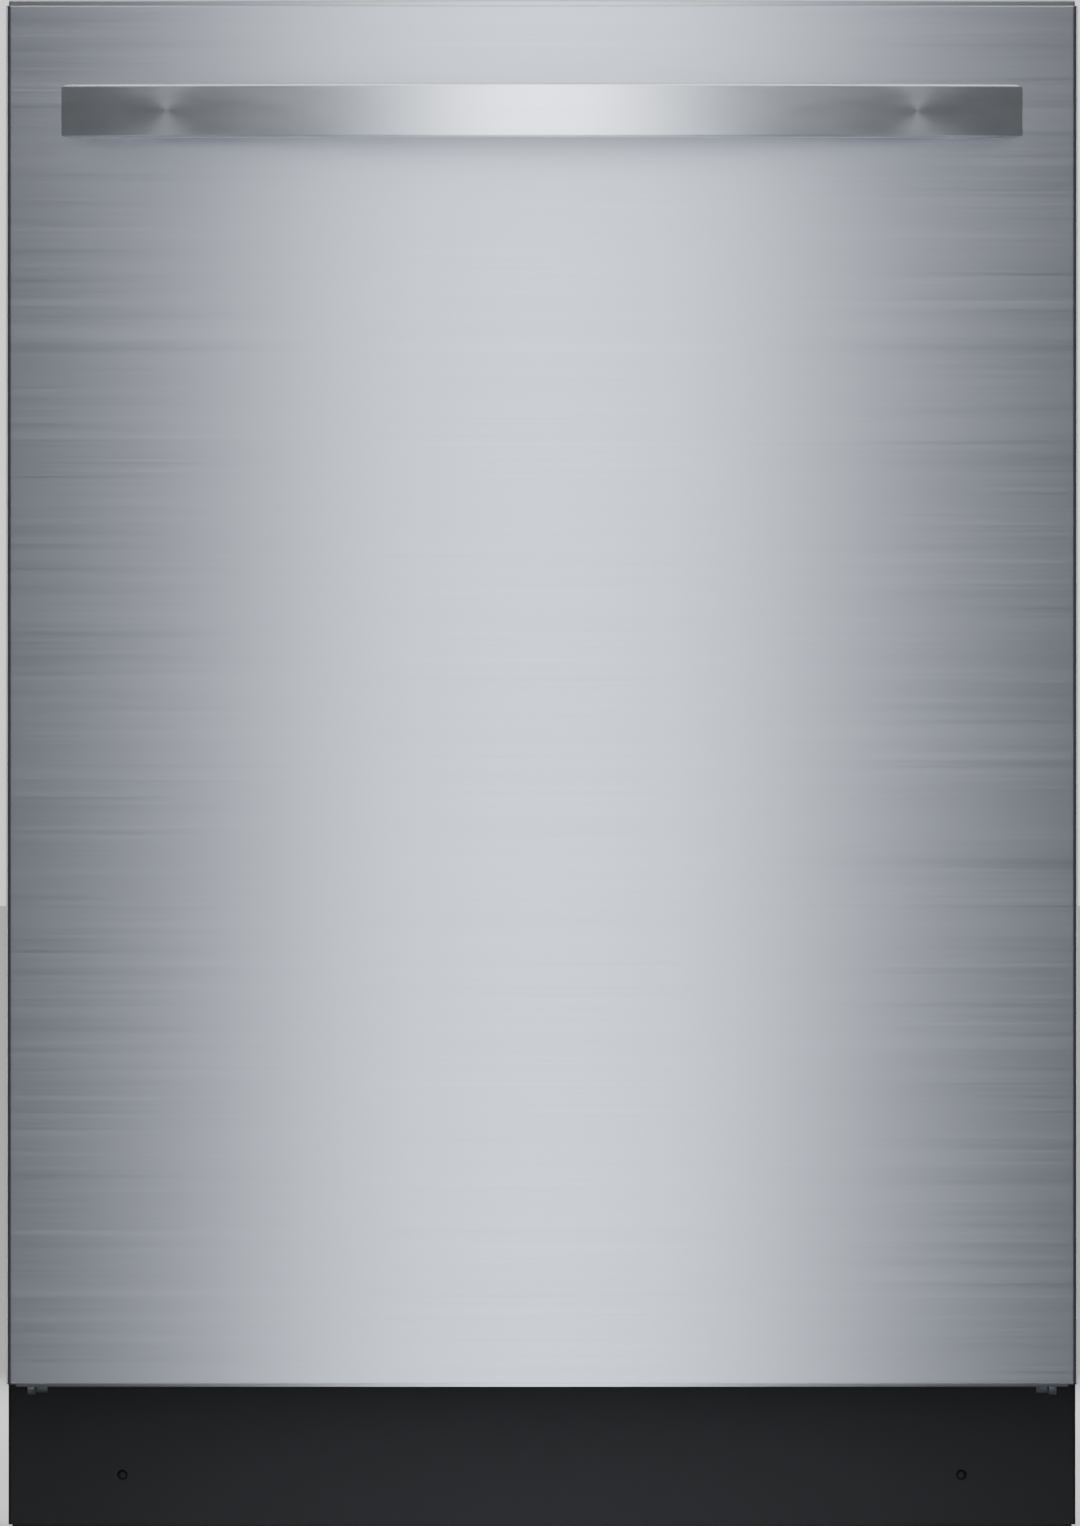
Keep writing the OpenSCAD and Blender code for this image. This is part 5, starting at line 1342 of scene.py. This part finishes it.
def door_mat():
    lo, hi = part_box("door_insulation")
    k = Kit()
    nx, nz = 50, 66
    f, b = {}, {}
    for i in range(nx + 1):
        for j in range(nz + 1):
            x = lo.x + (hi.x - lo.x) * i / nx
            z = lo.z + (hi.z - lo.z) * j / nz
            edge = min(i, nx - i, j, nz - j)
            h = (hi.y - lo.y) * (0.5 + 0.3 * smooth(0, 2, edge) + 0.14 * math.sin(x * 40) * math.cos(z * 33))
            f[i, j] = k.bm.verts.new((x, lo.y + h, z))
            b[i, j] = k.bm.verts.new((x, lo.y, z))
    for g in (f, b):
        for i in range(nx):
            for j in range(nz):
                k.bm.faces.new((g[i, j], g[i + 1, j], g[i + 1, j + 1], g[i, j + 1]))
    rim = [(i, 0) for i in range(nx)] + [(nx, j) for j in range(nz)]
    rim += [(i, nz) for i in range(nx, 0, -1)] + [(0, j) for j in range(nz, 0, -1)]
    for a in range(len(rim)):
        p, q = rim[a], rim[(a + 1) % len(rim)]
        k.bm.faces.new((f[p], f[q], b[q], b[p]))
    ob = k.out("door_insulation_mat", "felt", "door", ["door_insulation"], angle=70)


def feed_tube():
    lo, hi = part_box("feed_tube")
    alo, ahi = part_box("upper_spray_arm")
    c = (alo + ahi) / 2
    pipe_z = ahi.z + 0.001
    back = hi.y
    front = back - 0.015
    k = Kit()
    rings = []
    for z, w in ((lo.z, 0.040), (hi.z - 0.03, 0.040), (hi.z - 0.004, 0.036), (hi.z, 0.030)):
        rings.append([(x, (front + back) / 2 + y, z) for x, y in rounded(w, back - front, 0.004, 4)])
    k.loft(rings)
    k.box((-0.012, c.y, pipe_z), (0.012, back - 0.001, hi.z), 0.0035, 4)
    k.lathe([(0, 0), (0.016, 0), (0.018, 0.0015), (0.018, hi.z - pipe_z - 0.001), (0.017, hi.z - pipe_z),
             (0, hi.z - pipe_z)], (c.x, c.y, pipe_z), (0, 0, 1), 48)
    k.rod((c.x, c.y, alo.z - 0.001), (c.x, c.y, pipe_z + 0.001), 0.008, 0, 40)
    k.lathe([(0, -0.003), (0.010, -0.003), (0.012, -0.0022), (0.012, -0.0005), (0, -0.0005)],
            (c.x, c.y, alo.z), (0, 0, 1), 40)
    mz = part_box("middle_spray_arm")[0].z + 0.013 + 0.0025 + 0.007
    y = lo.y if lo.y > c.y + 0.05 else front - 0.007
    k.lathe([(0, 0), (0.0072, 0), (0.009, 0.002), (0.009, 0.009), (0, 0.009)], (0, y, mz), (0, 1, 0), 40)
    for z in (0.20, 0.33, 0.56, 0.68):
        k.box((-0.024, back - 0.004, z), (0.024, back, z + 0.012), 0.0012, 2)
    k.out("feed_tube_moulding", "grey_plastic", "cabinet", ["feed_tube"], angle=40)


# ---- Frame, base and hidden parts ----

BODY_OF = {n: b for b, names in frame["record"]["behaviour"]["bodies"].items() for n in names}
SLOT_OF = {s["node"]: s["material_slot"] for s in frame["record"]["subparts"]}


def softened(node_name, r, seg=2, extra=None, cuts=(), angle=32):
    """The shape of a node with its sharp edges rounded, and whatever extra holds added to it."""
    src = frame["nodes"][node_name]
    bm = bmesh.new()
    bm.from_mesh(src.data)
    bm.transform(src.matrix_world)
    bmesh.ops.remove_doubles(bm, verts=bm.verts[:], dist=0.00001)
    bmesh.ops.dissolve_limit(bm, angle_limit=math.radians(1.0), verts=bm.verts[:], edges=bm.edges[:])
    sharp = [e for e in bm.edges if len(e.link_faces) == 2 and e.calc_face_angle(0) > math.radians(40)]
    bmesh.ops.bevel(bm, geom=sharp, offset=r, segments=seg, profile=0.5, affect="EDGES", clamp_overlap=True)
    k = Kit()
    k.take(bm)
    if extra:
        extra(k)
    return k.out(node_name + "_form", SLOT_OF[node_name], BODY_OF[node_name], [node_name], angle, cuts=cuts)


def tub_floor():
    lo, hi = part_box("tub_floor")
    plo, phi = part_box("filter_plate")
    c, rp = (plo + phi) / 2, (phi.x - plo.x) / 2
    well, top, low = 0.235, hi.z, plo.z
    k = Kit()
    nx, ny = 116, 104
    rows = []
    for j in range(ny + 1):
        y = lo.y + (hi.y - lo.y) * j / ny
        row = []
        for i in range(nx + 1):
            x = lo.x + (hi.x - lo.x) * i / nx
            f = pad_field(x, y, (-well, well, lo.y + 0.016, hi.y - 0.016), 0.008, 0.030)
            z = top - (top - low) * f
            d = math.hypot(x - c.x, y - c.y)
            z -= 0.0085 * (1 - smooth(rp - 0.024, rp - 0.003, d))
            # Shallow ribs pressed across the well, clear of the filter.
            if d > rp + 0.012:
                rib = (-well + 0.03, well - 0.03, 0.125, 0.140)
                z += 0.0008 * f * pad_field(x, abs(y - c.y), rib, 0.008, 0.007)
            row.append((x, y, z))
        rows.append(row)
    k.sheet(rows)
    edge = [(lo.x, lo.y), (hi.x, lo.y), (hi.x, hi.y), (lo.x, hi.y), (lo.x, lo.y)]
    for (xa, ya), (xb, yb) in zip(edge, edge[1:]):
        k.sheet([[(xa, ya, top), (xb, yb, top)], [(xa, ya, lo.z), (xb, yb, lo.z)]])
    cut = Kit()
    cut.rod((c.x, c.y, lo.z - 0.02), (c.x, c.y, low - 0.003), 0.0725, 0, 64)
    k.out("tub_floor_pressing", "tub_steel", "cabinet", ["tub_floor"], angle=30, cuts=[cut.cutter()],
          solid=0.0007)


def front_frame():
    lo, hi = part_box("front_frame")
    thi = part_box("tub_wrap")[1]
    flo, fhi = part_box("tub_floor")
    t = 0.0012
    k = Kit()
    k.box((lo.x, lo.y, lo.z), (hi.x, lo.y + t, hi.z), 0.0004, 1)
    cut = Kit()
    a, b = flo.z + 0.0235, thi.z - 0.0008
    z0, w = (a - 0.06 + b) / 2, fhi.x * 2
    mouth = rounded(w, b - a + 0.06, 0.020, 8)
    cut.loft([[(x, y, z0 + z) for x, z in mouth] for y in (lo.y - 0.01, lo.y + 0.01)])
    for s in (-1, 1):
        cut.box((s * (fhi.x - 0.002), lo.y - 0.01, lo.z - 0.01),
                (s * (hi.x + 0.001), lo.y + 0.01, 0.110))
    k.out("front_frame_plate", "tub_steel", "cabinet", ["front_frame"], angle=40, cuts=[cut.cutter()])
    k = Kit()
    k.box((lo.x, lo.y, hi.z - t), (hi.x, hi.y, hi.z), 0.0005, 2)
    # Hemmed rear edge of the flange and the screws beside the door mouth.
    k.box((lo.x, hi.y - 0.006, hi.z - 2 * t), (hi.x, hi.y, hi.z - t + 0.0001), 0.0004, 1)
    for s in (-1, 1):
        for z in (0.20, 0.36, 0.52, 0.68, 0.80):
            k.lathe([(0, 0.0016), (0.0022, 0.0015), (0.0034, 0.0007), (0.0036, -0.0004), (0, -0.0004)],
                    (s * 0.2862, lo.y, z), (0, -1, 0), 20)
    k.out("front_frame_flange", "tub_steel", "cabinet", angle=40)


def base_pan():
    lo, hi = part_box("base_pan")

    def ribs(k):
        for s in (-1, 1):
            for y in spread(lo.y + 0.05, hi.y - 0.05, 8):
                k.box((s * (hi.x - 0.001), y - 0.0012, lo.z + 0.008),
                      (s * (hi.x + 0.0015), y + 0.0012, hi.z - 0.012), 0.0006, 1)
        for x in spread(-0.14, 0.14, 5):
            k.box((x - 0.0012, hi.y - 0.001, lo.z + 0.008),
                  (x + 0.0012, hi.y + 0.0015, hi.z - 0.012), 0.0006, 1)

    softened("base_pan", 0.0010, 2, ribs)


def pumps():
    lo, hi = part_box("circulation_pump")
    c, r = (lo + hi) / 2, (hi.y - lo.y) / 2
    cz = hi.z - r

    def fins(k):
        for i in range(13):
            x = lo.x + 0.014 + i * 0.0075
            k.lathe([(r - 0.001, -0.0009), (r + 0.0012, -0.0006), (r + 0.0012, 0.0006), (r - 0.001, 0.0009)],
                    (x, c.y, cz), (1, 0, 0), 64)
        k.lathe([(0, -0.0012), (0.018, -0.0012), (0.021, 0.0002), (0.021, 0.002), (0, 0.002)],
                (lo.x, c.y, cz), (1, 0, 0), 48)

    softened("circulation_pump", 0.0016, 3, fins)
    x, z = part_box("drain_pump")[1].x, 0.0465

    def cap(k):
        for i in range(7):
            k.lathe([(0.0235, -0.0008), (0.0250, -0.0005), (0.0250, 0.0005), (0.0235, 0.0008)],
                    (x - 0.010 - i * 0.005, c.y, z), (1, 0, 0), 48)

    softened("drain_pump", 0.0010, 2, cap)


def inlet():
    lo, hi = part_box("inlet_valve")
    x, z = (lo.x + hi.x) / 2, 0.062

    def thread(k):
        y = hi.y - 0.0195
        while y < hi.y - 0.002:
            k.lathe([(0.0125, -0.0009), (0.01335, -0.0001), (0.01335, 0.0001), (0.0125, 0.0009)], (x, y, z),
                    (0, 1, 0), 48)
            y += 0.0018
        # Coil housing with its two contact tabs.
        for dx in (-0.005, 0.005):
            k.box((x + dx - 0.002, lo.y + 0.006, hi.z - 0.0005),
                  (x + dx + 0.002, lo.y + 0.0068, hi.z + 0.006), 0.0002, 1)

    softened("inlet_valve", 0.0008, 2, thread)


def springs():
    lo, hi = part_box("balance_springs")
    x0, r = hi.x - 0.011, 0.011
    z = (lo.z + hi.z) / 2
    for s in (-1, 1):
        k = Kit()
        wire, turns, n = 0.0011, 52, 16
        path = []
        for i in range(turns * n + 1):
            a = 2 * math.pi * i / n
            y = lo.y + wire + (hi.y - lo.y - 2 * wire) * i / (turns * n)
            path.append((s * x0 + (r - wire) * math.cos(a), y, z + (r - wire) * math.sin(a)))
        k.tube(path, wire, 6)
        side = "left" if s < 0 else "right"
        k.lathe([(0, 0), (r - 0.0012, 0), (r - 0.0006, 0.001), (r - 0.0006, 0.006), (0, 0.006)],
                (s * x0, hi.y - 0.007, z), (0, 1, 0), 32)
        k.out("balance_spring_" + side, "zinc", "cabinet", ["balance_springs"] if s < 0 else (), angle=50)


def rear_cover():
    lo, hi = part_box("rear_cover")
    y = hi.y - 0.0012

    def screws(k):
        for s in (-1, 1):
            for z in (lo.z + 0.035, (lo.z + hi.z) / 2, hi.z - 0.035):
                k.lathe([(0, 0.0012), (0.003, 0.0011), (0.0042, 0.0002), (0.0044, -0.001), (0, -0.001)],
                        (s * (hi.x - 0.012), y, z), (0, 1, 0), 20)
        # Pressed stiffening beads beside the louvres.
        for s in (-1, 1):
            for z in (lo.z + 0.115, lo.z + 0.155):
                k.box((s * 0.125, y - 0.0005, z - 0.006),
                      (s * 0.255, y + 0.0008, z + 0.006), 0.0012, 3)

    softened("rear_cover", 0.0004, 1, screws)


def bottom_seal():
    """Rubber strip with a lip that wipes the floor edge of the tub."""
    lo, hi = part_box("door_bottom_seal")
    k = Kit()
    d, h = hi.y - lo.y, hi.z - lo.z
    sec = [(0, 0.9), (0.25, 1.0), (0.55, 0.96), (0.9, 0.55), (1.0, 0.12), (0.93, 0.0), (0.80, 0.08),
           (0.55, 0.42), (0.35, 0.38), (0.30, 0.1), (0, 0.05)]
    rings = []
    for x in spread(lo.x, hi.x, 40):
        f = 1.0 if lo.x + 0.004 < x < hi.x - 0.004 else 0.86
        rings.append([(x, lo.y + d * a * f, lo.z + h * (0.5 + (b - 0.5) * f)) for a, b in sec])
    k.loft(rings)
    k.out("door_seal_lip", "rubber", "door", ["door_bottom_seal"], angle=60)


def sump_body():
    def ribs(k):
        lo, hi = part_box("sump")
        c, r = (lo + hi) / 2, (hi.x - lo.x) / 2
        for i in range(20):
            a = 2 * math.pi * i / 20
            d = Vector((math.cos(a), math.sin(a), 0))
            p = Vector((hi.x - r, c.y, 0)) + d * (r + 0.0006)
            k.tube([p + Vector((0, 0, lo.z + 0.006)), p + Vector((0, 0, 0.104))], 0.0014, 6)

    softened("sump", 0.0009, 2, ribs)


def junction_box():
    def cover(k):
        lo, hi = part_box("junction_box")
        rim = 0.0012
        k.box((lo.x - rim, lo.y - rim, hi.z - 0.008), (hi.x + rim, hi.y + rim, hi.z + 0.0010), 0.0006, 2)
        k.lathe([(0, 0.0025), (0.0025, 0.0024), (0.0036, 0.0012), (0.0036, 0), (0, 0)],
                ((lo.x + hi.x) / 2, lo.y + 0.008, hi.z + 0.0008), (0, 0, 1), 20)

    softened("junction_box", 0.0006, 1, cover)


def water_guide():
    def cells(k):
        lo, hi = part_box("water_guide")
        # Ribs that fold the water's path inside each chamber.
        for i in range(4):
            y0 = lo.y + 0.006 + i * 0.063
            for j in range(6):
                z = lo.z + 0.045 + j * 0.050
                a, b = (y0, y0 + 0.036) if j % 2 else (y0 + 0.018, y0 + 0.054)
                k.box((lo.x + 0.0004, a, z), (hi.x - 0.001, b, z + 0.0020), 0.0005, 1)

    softened("water_guide", 0.0008, 2, cells)


def plain_parts():
    for n, r in (("side_frames", 0.0004), ("top_crossbar", 0.0003), ("mounting_brackets", 0.0004),
                 ("latch_strike", 0.0004), ("fixed_rails", 0.0006), ("balance_rods", 0.0005),
                 ("toe_plate", 0.0003), ("control_module", 0.0012), ("door_latch", 0.0016),
                 ("hinge_arms", 0.0010), ("upper_rails_middle", 0.0005)):
        softened(n, r, 2)

make_camera()
make_world()
make_studio()
dress_cad()
door_skin()
door_handle()
toe_kick()
toe_screws()
control_strip()
buttons()
display()
levelling_feet()
tub_wrap()
tub_floor()
front_frame()
base_pan()
pumps()
inlet()
springs()
rear_cover()
bottom_seal()
sump_body()
junction_box()
water_guide()
plain_parts()
tub_back()
door_inner()
dispenser()
gasket()
filter_parts()
insulation_blanket()
door_mat()
feed_tube()
lower_rack()

fold_tines()
wheels()
cutlery_basket()
upper_rack()
third_rack()
spray_arm("lower_spray_arm", 1)
spray_arm("middle_spray_arm", 1)
spray_arm("upper_spray_arm", -1)

bpy.context.view_layer.update()
